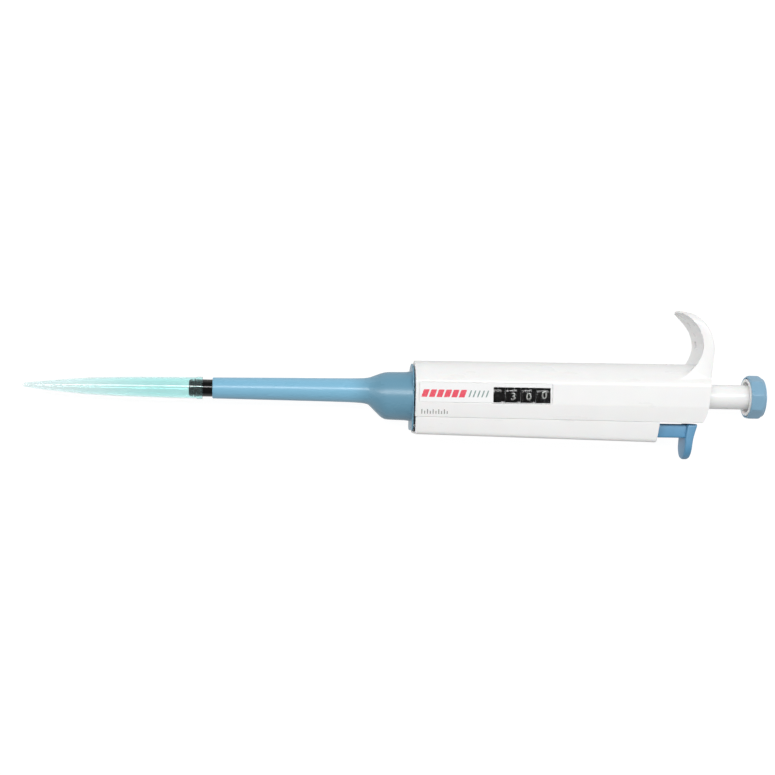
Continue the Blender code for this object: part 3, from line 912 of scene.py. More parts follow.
@dataclass
class Hook:
    """The finger hook: a crescent that grows out of the crown and narrows to a round tip.

    Attributes:
        rim: The edge of the finger face, from under the crown to the tip.
        back: The back, point for point with the rim.
        rim_depth: Depth from the middle plane at which the rim was drawn.
        half_width: Half its width, where it is full.
        flare: How much wider each side is at its foot.
        hollow: How far the finger face is hollowed across its width.
        foot: The share of its length over which it grows out of the crown.
        nose: The share of its length at which it starts to narrow.
        slot: The moulded slot in the finger face: x, y and z of its two corners.
        count: Number of sections.
    """

    rim: tuple[Flat, ...] = (
        (104.0, 7.7), (107.8, 8.0), (111.1, 8.9), (114.35, 11.3), (117.3, 15.4), (118.8, 20.1),
        (118.3, 24.65), (116.4, 28.75), (113.6, 31.9), (111.4, 33.7), (109.7, 34.5),
    )
    back: tuple[Flat, ...] = (
        (112.0, 2.0), (117.0, 2.0), (121.3, 2.6), (122.5, 7.5), (123.3, 12.5), (123.8, 17.5),
        (123.5, 22.0), (122.3, 26.4), (119.3, 30.9), (115.0, 34.1), (109.9, 35.4),
    )
    rim_depth: float = 9.0
    half_width: float = 9.2
    flare: float = 0.9
    hollow: float = 1.0
    foot: Flat = (0.10, 0.36)
    nose: float = 0.74
    slot: tuple[Point, Point] = ((117.5, 20.4, -6.7), (122.0, 23.0, -4.5))
    count: int = 72

    def half(self, part: float) -> float:
        """Half the hook's width.

        Args:
            part: 0 at the foot, 1 at the tip.

        Returns:
            Half the width there.
        """
        height = bent(self.rim, part).y
        wide = self.half_width + self.flare * math.exp((4.2 - height) / 4.0)
        past = max(0.0, part - self.nose) / (1.02 - self.nose)
        return wide * math.sqrt(1 - past * past)

    def ring(self, part: float, outline: Outline) -> Ring:
        """The hook's section.

        Args:
            part: 0 at the foot, 1 at the tip.
            outline: The handle's outline, whose crown the hook grows out of.

        Returns:
            The section's points.
        """
        face, back = bent(self.rim, part), bent(self.back, part)
        half, thick = self.half(part), (back - face).length
        grown = eased((part - self.foot[0]) / (self.foot[1] - self.foot[0]))
        deep = min(self.hollow, 0.35 * thick) * grown
        soft = min(1.3, 0.4 * thick, 0.6 * half)
        across = steps_between(-half, half, 28)
        path = [(0.0, w) for w in across] + [(thick, half), (thick, -half)]
        setbacks = [0.4 * soft] + [0.0] * (len(across) - 2) + [0.4 * soft, soft, soft]
        unit = (back - face).normalized()
        level = outline.crown_height(face.x, self.rim_depth)
        points = []
        for depth, w in softened(path, setbacks, True):
            near = 1 - depth / thick
            lift = (outline.crown_height(face.x, w) - level) * (1 - grown) * near
            trough = deep * (1 - abs(w / half) ** 2.4) * near
            spot = face + unit * (depth + trough)
            points.append((spot.x, spot.y + lift, w))
        return points

    def make(self, outline: Outline) -> bpy.types.Object:
        """The hook's closed mesh."""
        parts = steps_between(0, 1, self.count)
        return Bench.skin("hook_form", [self.ring(part, outline) for part in parts])


@dataclass
class Cover:
    """The channel under the handle, cut off aslant behind the thumb tab.

    Attributes:
        wall: Thickness of its sides.
        floor: Thickness of its underside.
        start: Where it starts.
        upper_end: Where it ends beside the handle.
        lower_end: Where it ends at its underside.
        seam_gap: Width of the joint with the handle.
        bevel: How far its ends' edges are drawn in.
        corners: How far back each corner of its section is rounded.
    """

    wall: float = 1.2
    floor: float = 0.9
    start: float = 0.2
    upper_end: float = 101.1
    lower_end: float = 99.9
    seam_gap: float = 0.05
    bevel: float = 0.25
    corners: tuple[float, ...] = (0.15, 1.7, 1.7, 0.15, 0.15, 1.0, 1.0, 0.15)

    def ring(self, out: Outline, x: float, inset: float, slanted: bool = False) -> Ring:
        """The channel's section.

        Args:
            out: The handle's outline.
            x: Where it is.
            inset: How far its outer edges are drawn in.
            slanted: Whether it follows the slant of the upper end.

        Returns:
            The points round it.
        """
        rim = out.height(out.seam_line, x) - self.seam_gap
        low = out.height(out.base_line, x)
        outer = [(rim - inset / 2, out.seam_half - inset), (low + inset, out.base_half - inset)]
        inner = [(low + self.floor, out.base_half - self.wall),
                 (rim - inset / 2, out.seam_half - self.wall)]
        path = outer + [(y, -z) for y, z in reversed(outer)]
        path += [(y, -z) for y, z in reversed(inner)] + inner
        lean = self.lower_end - self.upper_end if slanted else 0.0
        corners = softened(path, self.corners, True)
        return [(x + (y - rim) / (low - rim) * lean, y, z) for y, z in corners]

    def make(self, out: Outline) -> None:
        """Builds the cover.

        Args:
            out: The handle's outline.
        """
        rings = [self.ring(out, self.start, self.bevel),
                 self.ring(out, self.start + self.bevel, 0.0)]
        rings += [self.ring(out, x, 0.0) for x in steps_between(4.0, 96.0, 23)]
        rings += [self.ring(out, self.upper_end - self.bevel, 0.0, True),
                  self.ring(out, self.upper_end, 0.2, True)]
        cover = Bench.skin("ejector_cover_shell", rings)
        Bench.dress(cover, Look.WHITE, Body.HANDLE, "white_plastic", "ejector_cover")


@dataclass
class StripeRow:
    """A row of slanted printed blocks on the label.

    Attributes:
        name: The piece's name.
        look: The ink.
        start: Where the row starts.
        count: Number of blocks.
        pitch: Block to block.
        wide: Width of a block.
        height: Height of a block.
        middle: Height of the row's middle.
        slant: How far a block leans for its height.
        corner: How far back a block's corners are rounded.
        sunk: How far the ink reaches into the label.
        proud: How far it stands out of it.
    """

    name: str
    look: Look
    start: float
    count: int
    pitch: float
    wide: float
    height: float
    middle: float = -0.45
    slant: float = 0.35
    corner: float = 0.25
    sunk: float = 0.03
    proud: float = 0.015

    def make(self, top: float) -> None:
        """Prints the row.

        Args:
            top: Height of the label's face.
        """
        lean = self.slant * self.height
        low, high = self.middle - self.height / 2, self.middle + self.height / 2
        plans = []
        for i in range(self.count):
            x = self.start + self.pitch * i
            corners = [(x, low), (x + self.wide, low), (x + self.wide + lean, high),
                       (x + lean, high)]
            plans.append(all_soft(corners, self.corner, True))
        row = Bench.plates(self.name, plans, top - self.sunk, top + self.proud)
        Bench.dress(row, self.look, Body.HANDLE, "label_film")


@dataclass
class TickRow:
    """A row of plain printed ticks on the lower flank, every other one short.

    Attributes:
        start: Middle of the first tick.
        pitch: Tick to tick.
        count: Number of ticks.
        wide: Width of a tick.
        tall: Height of a long tick.
        short: Height of a short tick.
        corner: How far back a tick's corners are rounded.
        ink: Half the thickness of the ink.
        measured_at: Where the flank's height and lean are taken.
        drop: Share of the flank's height between its upper edge and the row.
    """

    start: float = 2.6
    pitch: float = 1.15
    count: int = 10
    wide: float = 0.42
    tall: float = 1.9
    short: float = 1.2
    corner: float = 0.12
    ink: float = 0.02
    measured_at: float = 10.0
    drop: float = 0.62

    def laid(self, out: Outline, point: Point) -> Vector:
        """Lays a point of the level row on the leaning flank.

        Args:
            out: The handle's outline.
            point: The point, with z out of the flank.

        Returns:
            Its place in the frame.
        """
        run = out.facet[1] - out.height(out.seam_line, self.measured_at)
        fall = out.half_depth - out.seam_half
        lean = math.atan2(fall, run)
        x, y, z = point
        height = out.facet[1] - self.drop * run + y * math.cos(lean)
        depth = out.half_depth - self.drop * fall + y * math.sin(lean)
        return DATUM.place((x, height, depth + z))

    def make(self, out: Outline) -> None:
        """Prints the ticks.

        Args:
            out: The handle's outline.
        """
        plans = []
        for i in range(self.count):
            tall = self.tall if i % 2 == 0 else self.short
            centre = (self.start + self.pitch * i, (tall - self.tall) / 2)
            plans.append(rounded_box((self.wide, tall), self.corner, centre))
        lay = partial(self.laid, out)
        ticks = Bench.plates("flank_ticks", plans, -self.ink, self.ink, lay)
        Bench.dress(ticks, Look.SCALE, Body.HANDLE, "label_film")


@dataclass
class Handle:
    """The white handle with its hook, cover, label and number window.

    Attributes:
        outline: Its cross-section.
        hook: Its finger hook.
        cover: The channel under it.
        ticks: The row printed on its lower flank.
        stripes: The rows printed on its label: a red one, then a fine grey-green one.
        length: How far it is lofted before its end is cut off.
        bore: Radius of its bore.
        bore_end: Where the bore ends.
        rod_hole: Radius of the hole that the rod comes out of.
        end_edge: What is cut off its upper end, as (x, y) corners.
        end_corners: How far back each of them is rounded.
        cutter: Half the depth of that cut.
        window: Where the number window is, in x and in y.
        label: Where the label starts and ends.
        film: Thickness of the label film.
        gap: Gap round the label in its recess.
        label_corner: How far back the label's corners are rounded.
        label_bevel: Width of the bevel round its face.
        window_lip: Width of the rolled edge round the window.
        lens_bevel: Width of the bevel round the lens.
    """

    outline: Outline = field(default_factory=Outline)
    hook: Hook = field(default_factory=Hook)
    cover: Cover = field(default_factory=Cover)
    ticks: TickRow = field(default_factory=TickRow)
    stripes: tuple[StripeRow, ...] = (
        StripeRow("red_stripes", Look.RED, 2.2, 6, 3.05, 2.35, 3.1),
        StripeRow("grey_green_stripes", Look.SAGE, 21.4, 5, 1.75, 0.55, 2.8),
    )
    length: float = 130.0
    bore: float = 8.7
    bore_end: float = 117.5
    rod_hole: float = 5.6
    end_edge: tuple[Flat, ...] = (
        (118.9, -12.0), (118.9, -10.9), (120.5, -8.2), (121.2, -5.0), (122.1, 5.0),
        (123.1, 14.0), (124.2, 24.0), (140.0, 24.0), (140.0, -12.0),
    )
    end_corners: tuple[float, ...] = (0, 0.3, 1.4, 1.6, 3.0, 3.0, 0, 0, 0)
    cutter: float = 12.0
    window: tuple[Flat, Flat] = ((31.7, 55.2), (-3.8, 2.4))
    label: Flat = (1.5, 55.8)
    film: float = 0.3
    gap: float = 0.3
    label_corner: float = 0.6
    label_bevel: float = 0.08
    window_lip: float = 0.12
    lens_bevel: float = 0.1

    def shell(self) -> None:
        """The handle: lofted, joined to its hook, cut off aslant, bored and opened."""
        spots = [0.0, 0.12, 0.4] + steps_between(4.0, self.length, 30)
        insets = [0.35, 0.1] + [0.0] * (len(spots) - 2)
        rings = [self.outline.shell(x, inset) for x, inset in zip(spots, insets)]
        shell = Bench.skin("handle", rings)
        Bench.combine(shell, self.hook.make(self.outline), "UNION")
        edge = softened(self.end_edge, self.end_corners, True)
        cutter = [[(x, y, z) for x, y in edge] for z in (-self.cutter, self.cutter)]
        Bench.combine(shell, Bench.skin("end_cutter", cutter), "DIFFERENCE")
        profile = [(-1.0, self.bore), (self.bore_end, self.bore),
                   (self.bore_end, self.rod_hole), (self.length, self.rod_hole)]
        bore = Bench.skin("bore_cutter", [circle(x, r) for x, r in profile])
        Bench.combine(shell, bore, "DIFFERENCE")
        for block in self.openings():
            Bench.combine(shell, block, "DIFFERENCE")
        Bench.dress(shell, Look.WHITE, Body.HANDLE, "white_plastic", "handle_shell")

    def openings(self) -> Iterable[bpy.types.Object]:
        """The blocks that cut the handle's recesses.

        Yields:
            The label's recess, the number window, and the slot in the hook's finger face.
        """
        (x0, x1), (y0, y1) = self.window
        start, end = self.label
        top = self.outline.half_depth
        yield self.slab((start - self.gap, end + self.gap), self.outline.facet[::-1],
                        (top - self.film - 0.1, top + 1), self.label_corner)
        yield self.slab((x0 - 1.0, x1 + 0.45), (y0 - 0.4, y1 + 1.0), (6.0, top), 0.5)
        corner, far = self.hook.slot
        yield self.slab(*zip(corner, far), 0.2)

    @staticmethod
    def slab(xs: Flat, ys: Flat, zs: Flat, setback: float) -> bpy.types.Object:
        """An upright block with rounded corners."""
        return Bench.skin("slab", [plan(xs, ys, z, setback) for z in zs])

    def label_film(self) -> None:
        """The label film, a thin plate with rounded corners and the window cut out of it."""
        top, (high, low) = self.outline.half_depth, self.outline.facet
        ys, floor = (low + self.gap, high - self.gap), top - self.film
        bevel, lip, soft = self.label_bevel, self.window_lip, self.label_corner
        wx, wy = self.window
        rings = [
            plan(self.label, ys, floor, soft), plan(self.label, ys, top - bevel, soft),
            plan(self.label, ys, top, soft, bevel), plan(wx, wy, top, 0.3, -lip),
            plan(wx, wy, top - lip, 0.25), plan(wx, wy, floor, 0.25),
        ]
        film = Bench.skin("label_film_plate", rings, closed=True)
        Bench.dress(film, Look.FILM, Body.HANDLE, "label_film", "label_plate")

    def lens(self) -> None:
        """The clear lens behind the film, with softened edges."""
        (x0, x1), (y0, y1) = self.window
        xs, ys = (x0 - 0.7, x1 + 0.2), (y0 - 0.2, y1 + 0.7)
        low, high = self.bore + 0.1, self.outline.half_depth - self.film - 0.2
        bevel = self.lens_bevel
        levels = ((low, bevel), (low + bevel, 0.0), (high - bevel, 0.0), (high, bevel))
        lens = Bench.skin("number_lens", [plan(xs, ys, z, 0.4, inset) for z, inset in levels])
        Bench.dress(lens, Look.LENS, Body.HANDLE, "clear_lens", "window_lens")

    def make(self) -> None:
        """Builds the handle."""
        self.shell()
        self.cover.make(self.outline)
        self.label_film()
        self.lens()
        for row in self.stripes:
            row.make(self.outline.half_depth)
        self.ticks.make(self.outline)


@dataclass
class Figures:
    """Printed figures as thin solid letters.

    Attributes:
        name: The piece's name.
        text: What they say.
        height: Height of a figure.
        proud: How far they stand out of the surface.
        letter: Height of a figure in type of size 1.
        weight: How much fatter its strokes are, for its height.
        bands: Number of bands that it is cut into, so that it can bend.
        reach: Where the cuts start and end from its middle, for its height.
    """

    name: str
    text: str
    height: float
    proud: float
    letter: float = 0.70
    weight: float = 0.02
    bands: int = 12
    reach: float = 0.7

    def flat(self) -> bmesh.types.BMesh:
        """The figures as a flat sheet in millimetres, cut into narrow bands for bending.

        Returns:
            The sheet.
        """
        curve = bpy.data.curves.new("figures", "FONT")
        curve.body = self.text
        curve.size = self.height / self.letter
        curve.offset = self.weight * self.height
        curve.resolution_u = 6
        curve.align_x = curve.align_y = "CENTER"
        holder = bpy.data.objects.new("figures", curve)
        bpy.context.scene.collection.objects.link(holder)
        graph = bpy.context.evaluated_depsgraph_get()
        data = bpy.data.meshes.new_from_object(holder.evaluated_get(graph))
        bpy.data.objects.remove(holder, do_unlink=True)
        sheet = bmesh.new()
        sheet.from_mesh(data)
        bmesh.ops.remove_doubles(sheet, verts=sheet.verts, dist=1e-4)
        edge = self.reach * self.height
        for level in steps_between(-edge, edge, self.bands):
            bmesh.ops.bisect_plane(
                sheet, geom=sheet.verts[:] + sheet.edges[:] + sheet.faces[:],
                plane_co=(0, level, 0), plane_no=(0, 1, 0),
            )
        return sheet

    def make(self, lay: Callable[[Point], Vector]) -> bpy.types.Object:
        """The figures as a closed solid.

        Args:
            lay: Carries a point of the flat figures to its place in the frame.

        Returns:
            The object.
        """
        sheet = self.flat()
        bmesh.ops.solidify(sheet, geom=sheet.faces[:], thickness=-2 * self.proud)
        for vert in sheet.verts:
            vert.co = lay(tuple(vert.co))
        bmesh.ops.recalc_face_normals(sheet, faces=sheet.faces)
        data = bpy.data.meshes.new(self.name)
        sheet.to_mesh(data)
        sheet.free()
        made = bpy.data.objects.new(self.name, data)
        bpy.context.scene.collection.objects.link(made)
        return made


# ---- counter -----------------------------------------------------------------------------
@dataclass
class Drum:
    """One number drum.

    Attributes:
        body: The body it turns with.
        node: Its CAD node.
        digits: Its figures in order, from the one that shows at rest.
        lift: How far its figures are turned up from the others, in millimetres.
        rim: Whether it has a low rim at its lower end.
        gear: Whether it has teeth at its upper end.
    """

    body: Body
    node: str
    digits: str
    lift: float = 0.0
    rim: bool = True
    gear: bool = True


@dataclass
class Counter:
    """The four black number drums with their white figures.

    Attributes:
        radius: Radius of the drums.
        bore: Radius of their bore.
        tooth: Depth of a tooth.
        teeth: Number of teeth on a drum.
        rim_width: Width of the low rim at a drum's lower end.
        gear_width: Width of the teeth at its upper end.
        gear_drop: How far the teeth lie under the drum's face.
        soft: How far the edges are drawn in.
        figure_height: Height of the figures.
        figure_proud: How far they stand out.
        sight_line: Height of the figures that show in the window.
        sides: Points round a drum.
        drums: The drums, from the thousands down.
    """

    radius: float = 7.9
    bore: float = 6.75
    tooth: float = 0.6
    teeth: int = 30
    rim_width: float = 1.3
    gear_width: float = 1.6
    gear_drop: float = 0.05
    soft: float = 0.12
    figure_height: float = 3.1
    figure_proud: float = 0.02
    sight_line: float = -1.4
    sides: int = 180
    drums: tuple[Drum, ...] = (
        Drum(Body.THOUSANDS, "drum_thousands", " 123456789", rim=False),
        Drum(Body.HUNDREDS, "drum_hundreds", "3456789012"),
        Drum(Body.TENS, "drum_tens", "0123456789"),
        Drum(Body.ONES, "drum_ones", "0505050505", lift=0.7, gear=False),
    )

    def toothed(self, x: float, tip: float) -> Ring:
        """A ring of V teeth.

        Args:
            x: Where it is.
            tip: Radius of the teeth's tips.

        Returns:
            The points round it.
        """
        ring = []
        for i in range(self.sides):
            angle = math.tau * i / self.sides
            phase = i * self.teeth / self.sides % 1.0
            radius = tip - self.tooth * (1 - abs(2 * phase - 1))
            ring.append((x, radius * math.cos(angle), radius * math.sin(angle)))
        return ring

    @staticmethod
    def ends(drum: Drum) -> Flat:
        """Where a drum's CAD node starts and ends on the drawing."""
        low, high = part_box(drum.node)
        return (low[0] - DATUM.start) / MM, (high[0] - DATUM.start) / MM

    def drum(self, drum: Drum) -> None:
        """The drum's body, with its rim and gear and softened edges.

        Args:
            drum: The drum.
        """
        (start, end), soft, root = self.ends(drum), self.soft, self.radius - self.tooth
        wide_start = start + self.rim_width if drum.rim else start
        wide_end = end - self.gear_width if drum.gear else end
        profile: list[Flat] = []
        if drum.rim:
            profile += [(start, root - soft), (start + soft, root), (wide_start, root)]
        profile += [
            (wide_start, self.radius - soft), (wide_start + soft, self.radius),
            (wide_end - soft, self.radius), (wide_end, self.radius - soft),
        ]
        rings = [circle(x, r, self.sides) for x, r in profile]
        if drum.gear:
            tip = self.radius - self.gear_drop
            rings += [self.toothed(x, tip) for x in (wide_end + 0.01, end)]
        rings += [circle(x, self.bore, self.sides) for x in (end, start)]
        piece = Bench.skin(drum.node + "_body", rings, closed=True)
        Bench.dress(piece, Look.DRUM, drum.body, "black_plastic", drum.node)

    def wrapped(self, middle: float, turn: float, point: Point) -> Vector:
        """Bends a point of a flat figure round a drum.

        Args:
            middle: Middle of the drum.
            turn: How far round the figure is.
            point: The point, with z out of the drum.

        Returns:
            Its place in the frame.
        """
        x, y, z = point
        angle, reach = turn + y / self.radius, self.radius + z
        return DATUM.place((middle + x, reach * math.sin(angle), reach * math.cos(angle)))

    def figures(self, drum: Drum) -> None:
        """The drum's ten figures, printed round it.

        Args:
            drum: The drum.
        """
        middle = sum(self.ends(drum)) / 2
        at_sight = (self.sight_line + drum.lift) / self.radius
        for place, digit in enumerate(drum.digits):
            if digit == " ":
                continue
            turn = at_sight + math.tau * place / len(drum.digits)
            name = f"{drum.node}_figure_{place}"
            text = Figures(name, digit, self.figure_height, self.figure_proud)
            piece = text.make(partial(self.wrapped, middle, turn))
            Bench.dress(piece, Look.FIGURE, drum.body, "black_plastic")

    def make(self) -> None:
        """Builds the drums."""
        for drum in self.drums:
            self.drum(drum)
            self.figures(drum)


# ---- nozzle and tip ----------------------------------------------------------------------
@dataclass
class Nozzle:
    """The black nozzle that takes the tip, and its sealing ring.

    Attributes:
        end: Where it ends.
        radius: Its radius under the tip and the sleeve.
        bore: Radius of the air channel.
        groove: Where the sealing ring's groove starts and ends.
        groove_radius: Radius of the groove's floor.
        barrel: Radius of the barrel inside the ejector's bell.
        foot: Radius of the foot that is held in the handle.
        foot_bore: Radius of the foot's bore.
        chamber: Radius of the piston's chamber.
        soft: How far back its corners are rounded.
        ring: Middle of the sealing ring's section, as (x, radius).
        ring_thick: Radius of that section.
    """

    end: float = -91.5
    radius: float = 3.5
    bore: float = 1.6
    groove: Flat = (-89.7, -88.3)
    groove_radius: float = 2.9
    barrel: float = 6.0
    foot: float = 8.3
    foot_bore: float = 6.4
    chamber: float = 4.76
    soft: float = 0.15
    ring: Flat = (-89.0, 3.33)
    ring_thick: float = 0.38

    def body(self) -> None:
        """The nozzle, its barrel and its foot, with the bore through them."""
        low, high = self.groove
        profile = [
            (self.end, self.radius - 0.45), (self.end + 0.6, self.radius - 0.05),
            (low, self.radius), (low, self.groove_radius), (high, self.groove_radius),
            (high, self.radius), (-86.9, self.radius), (-86.8, self.radius - 0.12),
            (-86.6, self.radius - 0.12), (-86.5, self.radius),
            (-19.5, self.radius), (-14.5, self.barrel), (8.4, self.barrel), (8.4, self.foot),
            (18.0, self.foot), (18.0, self.foot_bore), (11.5, self.foot_bore),
            (11.5, self.chamber), (-12.9, self.chamber), (-14.4, self.bore),
            (self.end, self.bore),
        ]
        piece = Bench.turned("nozzle", profile, self.soft, True)
        Bench.dress(piece, Look.BLACK, Body.HANDLE, "black_plastic", "nozzle_barrel")

    def seal(self) -> None:
        """The sealing ring in its groove."""
        (x, middle), thick = self.ring, self.ring_thick
        turns = steps_between(0.0, math.tau, 24)[:-1]
        section = [(x - thick * math.cos(a), middle + thick * math.sin(a)) for a in turns]
        seal = Bench.skin("nozzle_seal", [circle(x, r) for x, r in section], closed=True)
        Bench.dress(seal, Look.RUBBER, Body.HANDLE, "black_rubber", "nozzle_o_ring")

    def make(self) -> None:
        """Builds the nozzle."""
        self.body()
        self.seal()


@dataclass
class Tip:
    """The translucent teal tip: a thin cone with a collar at its open end.

    Attributes:
        outside: Its outer radius at points along it.
        inside: Its inner radius at points along it.
        collar: Radius of the collar.
        collar_foot: Where the cone meets the collar, as (x, radius).
        mouth: The inner edge of its open end, as (x, radius).
        soft: How far back the collar's corners are rounded.
        lip: Width of the bevel at its point.
    """

    outside: tuple[Flat, ...] = (
        (-157.9, 0.8), (-154.2, 1.2), (-149.5, 1.7), (-139.9, 2.65), (-130.4, 3.4),
        (-116.0, 3.9), (-101.6, 4.15), (-88.4, 4.3),
    )
    inside: tuple[Flat, ...] = (
        (-157.9, 0.4), (-149.5, 1.15), (-139.9, 2.1), (-130.4, 2.85), (-116.0, 3.35),
        (-101.6, 3.6), (-88.2, 3.85), (-86.0, 4.0),
    )
    collar: float = 4.5
    collar_foot: Flat = (-88.45, 4.31)
    mouth: Flat = (-86.0, 4.05)
    soft: float = 0.14
    lip: float = 0.12

    def make(self) -> None:
        """Builds the tip."""
        low, top = self.outside[0][0], self.mouth[0]
        outer = [(x, through(self.outside, x)) for x in steps_between(low, -88.6, 56)]
        outer[0] = (low, outer[0][1] - self.lip)
        outer.insert(1, (low + self.lip, outer[1][1] - 0.28))
        collar = [self.collar_foot, (-88.2, self.collar), (top, self.collar), self.mouth]
        outer += all_soft(collar, self.soft, False)
        inner = [(x, through(self.inside, x)) for x in steps_between(top, low, 60)]
        rings = [circle(x, r) for x, r in outer + inner]
        tip = Bench.skin("tip_cone", rings, closed=True)
        Bench.dress(tip, Look.TEAL, Body.TIP, "clear_teal_plastic", "pipette_tip")


# ---- ejector -----------------------------------------------------------------------------
@dataclass
class Ejector:
    """The blue tip ejector: sleeve, flange, stem and thumb tab.

    Attributes:
        end: The sleeve's lower end.
        bore: Radius of its bore.
        wide_bore: Radius of its bore inside the bell.
        high: Height of its top over the axis, along it.
        low: Depth of its underside below the axis, along it.
        half: Half its thickness, along it.
        flange: Where the flange starts and ends.
        flange_inset: How far the flange lies inside the handle's outline.
        stem_size: Height and thickness of the stem.
        stem_middle: Height of the stem's middle.
        tab_near: The tab's lower face, as (y, x).
        tab_far: Its upper face, as (y, x).
        tab_top: Height of its root.
        tab_bottom: Height of its round end.
        tab_half: Half its width.
        tab_pinch: How much thinner each of its faces gets at the round end.
        pinch_start: How far down the round end that begins.
        sides: Points round the sleeve.
    """

    end: float = -82.0
    bore: float = 3.8
    wide_bore: float = 6.3
    high: tuple[Flat, ...] = (
        (-82.4, 4.33), (-56.0, 4.68), (-27.0, 5.0), (-21.5, 5.15), (-18.9, 5.4), (-17.6, 5.75),
        (-15.2, 6.65), (-12.7, 7.5), (-11.5, 7.75), (-10.2, 7.88), (-3.8, 8.0), (-2.6, 8.1),
        (-1.0, 8.6),
    )
    low: tuple[Flat, ...] = (
        (-82.4, 4.2), (-56.0, 4.45), (-27.0, 4.8), (-21.5, 5.05), (-18.9, 5.5), (-17.6, 6.5),
        (-15.2, 8.85), (-12.7, 11.0), (-11.5, 11.5), (-10.2, 11.65), (-3.8, 11.85), (-2.6, 11.95),
        (-1.0, 12.2),
    )
    half: tuple[Flat, ...] = (
        (-82.4, 4.3), (-56.0, 4.6), (-27.0, 4.95), (-21.5, 5.15), (-18.9, 5.5), (-17.6, 6.1),
        (-15.2, 7.3), (-12.7, 8.25), (-11.5, 8.45), (-10.2, 8.5), (-3.8, 8.6), (-2.6, 8.7),
        (-1.0, 9.0),
    )
    flange: Flat = (-1.1, -0.5)
    flange_inset: float = 1.3
    stem_size: Flat = (5.6, 9.0)
    stem_middle: float = -14.4
    tab_near: tuple[Flat, ...] = ((-26.2, 112.5), (-24.9, 112.5), (-17.1, 112.9), (-11.4, 113.7))
    tab_far: tuple[Flat, ...] = ((-26.2, 115.2), (-25.0, 115.4), (-18.5, 116.1), (-11.4, 118.0))
    tab_top: float = -11.4
    tab_bottom: float = -26.2
    tab_half: float = 6.0
    tab_pinch: float = 0.16
    pinch_start: float = 0.86
    sides: int = 128

    def sleeve_ring(self, x: float, inset: float) -> Ring:
        """An oval section of the sleeve.

        Args:
            x: Where it is.
            inset: How far it is drawn in.

        Returns:
            The points round it.
        """
        high, low = through(self.high, x) - inset, through(self.low, x) - inset
        half = through(self.half, x) - inset
        middle, reach = (high - low) / 2, (high + low) / 2
        turns = [math.tau * i / self.sides for i in range(self.sides)]
        return [(x, middle + reach * math.cos(a), half * math.sin(a)) for a in turns]

    def sleeve(self) -> None:
        """The sleeve, hollow over the nozzle."""
        rings = [self.sleeve_ring(self.end, 0.3), self.sleeve_ring(self.end + 0.1, 0.09)]
        rings += [self.sleeve_ring(self.end + 0.3, 0.0)]
        rings += [self.sleeve_ring(x, 0.0) for x in steps_between(-80.0, -24.0, 28)]
        rings += [self.sleeve_ring(x, 0.0) for x in steps_between(-23.0, -1.0, 66)]
        bore = [(-1.0, self.wide_bore), (-15.4, self.wide_bore), (-20.5, self.bore),
                (self.end, self.bore)]
        path = softened(bore, [0, 0.4, 0.4, 0], False)
        rings += [circle(x, r, self.sides) for x, r in path]
        piece = Bench.skin("ejector_sleeve_skin", rings, closed=True)
        Bench.dress(piece, Look.BLUE, Body.EJECTOR, "blue_plastic", "ejector_sleeve")

    def flange_plate(self, outline: Outline) -> None:
        """The flange at the handle's end, which carries the ejector rod.

        Args:
            outline: The handle's outline.
        """
        start, end = self.flange
        rings: list[Ring] = []
        for x, inset in ((start, 0.25), (start + 0.08, 0.06), (start + 0.25, 0.0),
                         (end - 0.2, 0.0), (end - 0.06, 0.06), (end, 0.2)):
            section = outline.whole(0.0, self.flange_inset + inset)
            rings.append([(x, y, z) for _, y, z in section])
        turns = [math.atan2(z, y) for _, y, z in rings[0]]
        edge = [(self.wide_bore * math.cos(a), self.wide_bore * math.sin(a)) for a in turns]
        rings += [[(x, y, z) for y, z in edge] for x in (end, start)]
        piece = Bench.skin("ejector_flange", rings, closed=True)
        Bench.dress(piece, Look.BLUE, Body.EJECTOR, "blue_plastic")

    def stem(self) -> None:
        """The stem that runs up into the cover."""
        start = (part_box("ejector_button")[0][0] - DATUM.start) / MM
        rings = []
        for x, inset in ((start, 0.3), (start + 0.3, 0.0), (112.0, 0.0), (115.0, 0.0)):
            size = tuple(side - 2 * inset for side in self.stem_size)
            section = rounded_box(size, 0.8, (self.stem_middle, 0.0))
            rings.append([(x, y, z) for y, z in section])
        piece = Bench.skin("ejector_stem", rings)
        # The stem's darker blue is painted shade.
        Bench.dress(piece, Look.TAB_SHADED, Body.EJECTOR, "blue_plastic")

    def tab(self) -> None:
        """The thumb tab: thick at its root, thin and round at its end."""
        middle = self.tab_bottom + self.tab_half
        heights = steps_between(self.tab_top, middle, 14)
        heights += [middle - self.tab_half * math.sin(a) for a in steps_between(0.1, 1.54, 20)]
        rings = []
        for k, y in enumerate(heights):
            down = max(0.0, middle - y)
            half = math.sqrt(max(0.01, self.tab_half ** 2 - down ** 2))
            x0, x1 = through(self.tab_near, y), through(self.tab_far, y)
            past = max(0.0, down / self.tab_half - self.pinch_start) / (1 - self.pinch_start)
            pinch = self.tab_pinch * past * (x1 - x0)
            trim = 0.3 if k == 0 else 0.0
            x0, x1, half = x0 + pinch + trim, x1 - pinch - trim, half - trim
            size, centre = (x1 - x0, 2 * half), ((x0 + x1) / 2, 0.0)
            rings.append([(x, y, z) for x, z in rounded_box(size, 1.0, centre)])
        piece = Bench.skin("ejector_tab", rings)
        # The tab's darker blue is painted shade.
        Bench.dress(piece, Look.TAB_SHADED, Body.EJECTOR, "blue_plastic", "ejector_button")

    def make(self, outline: Outline) -> None:
        """Builds the ejector.

        Args:
            outline: The handle's outline, which the flange follows.
        """
        self.sleeve()
        self.flange_plate(outline)
        self.stem()
        self.tab()


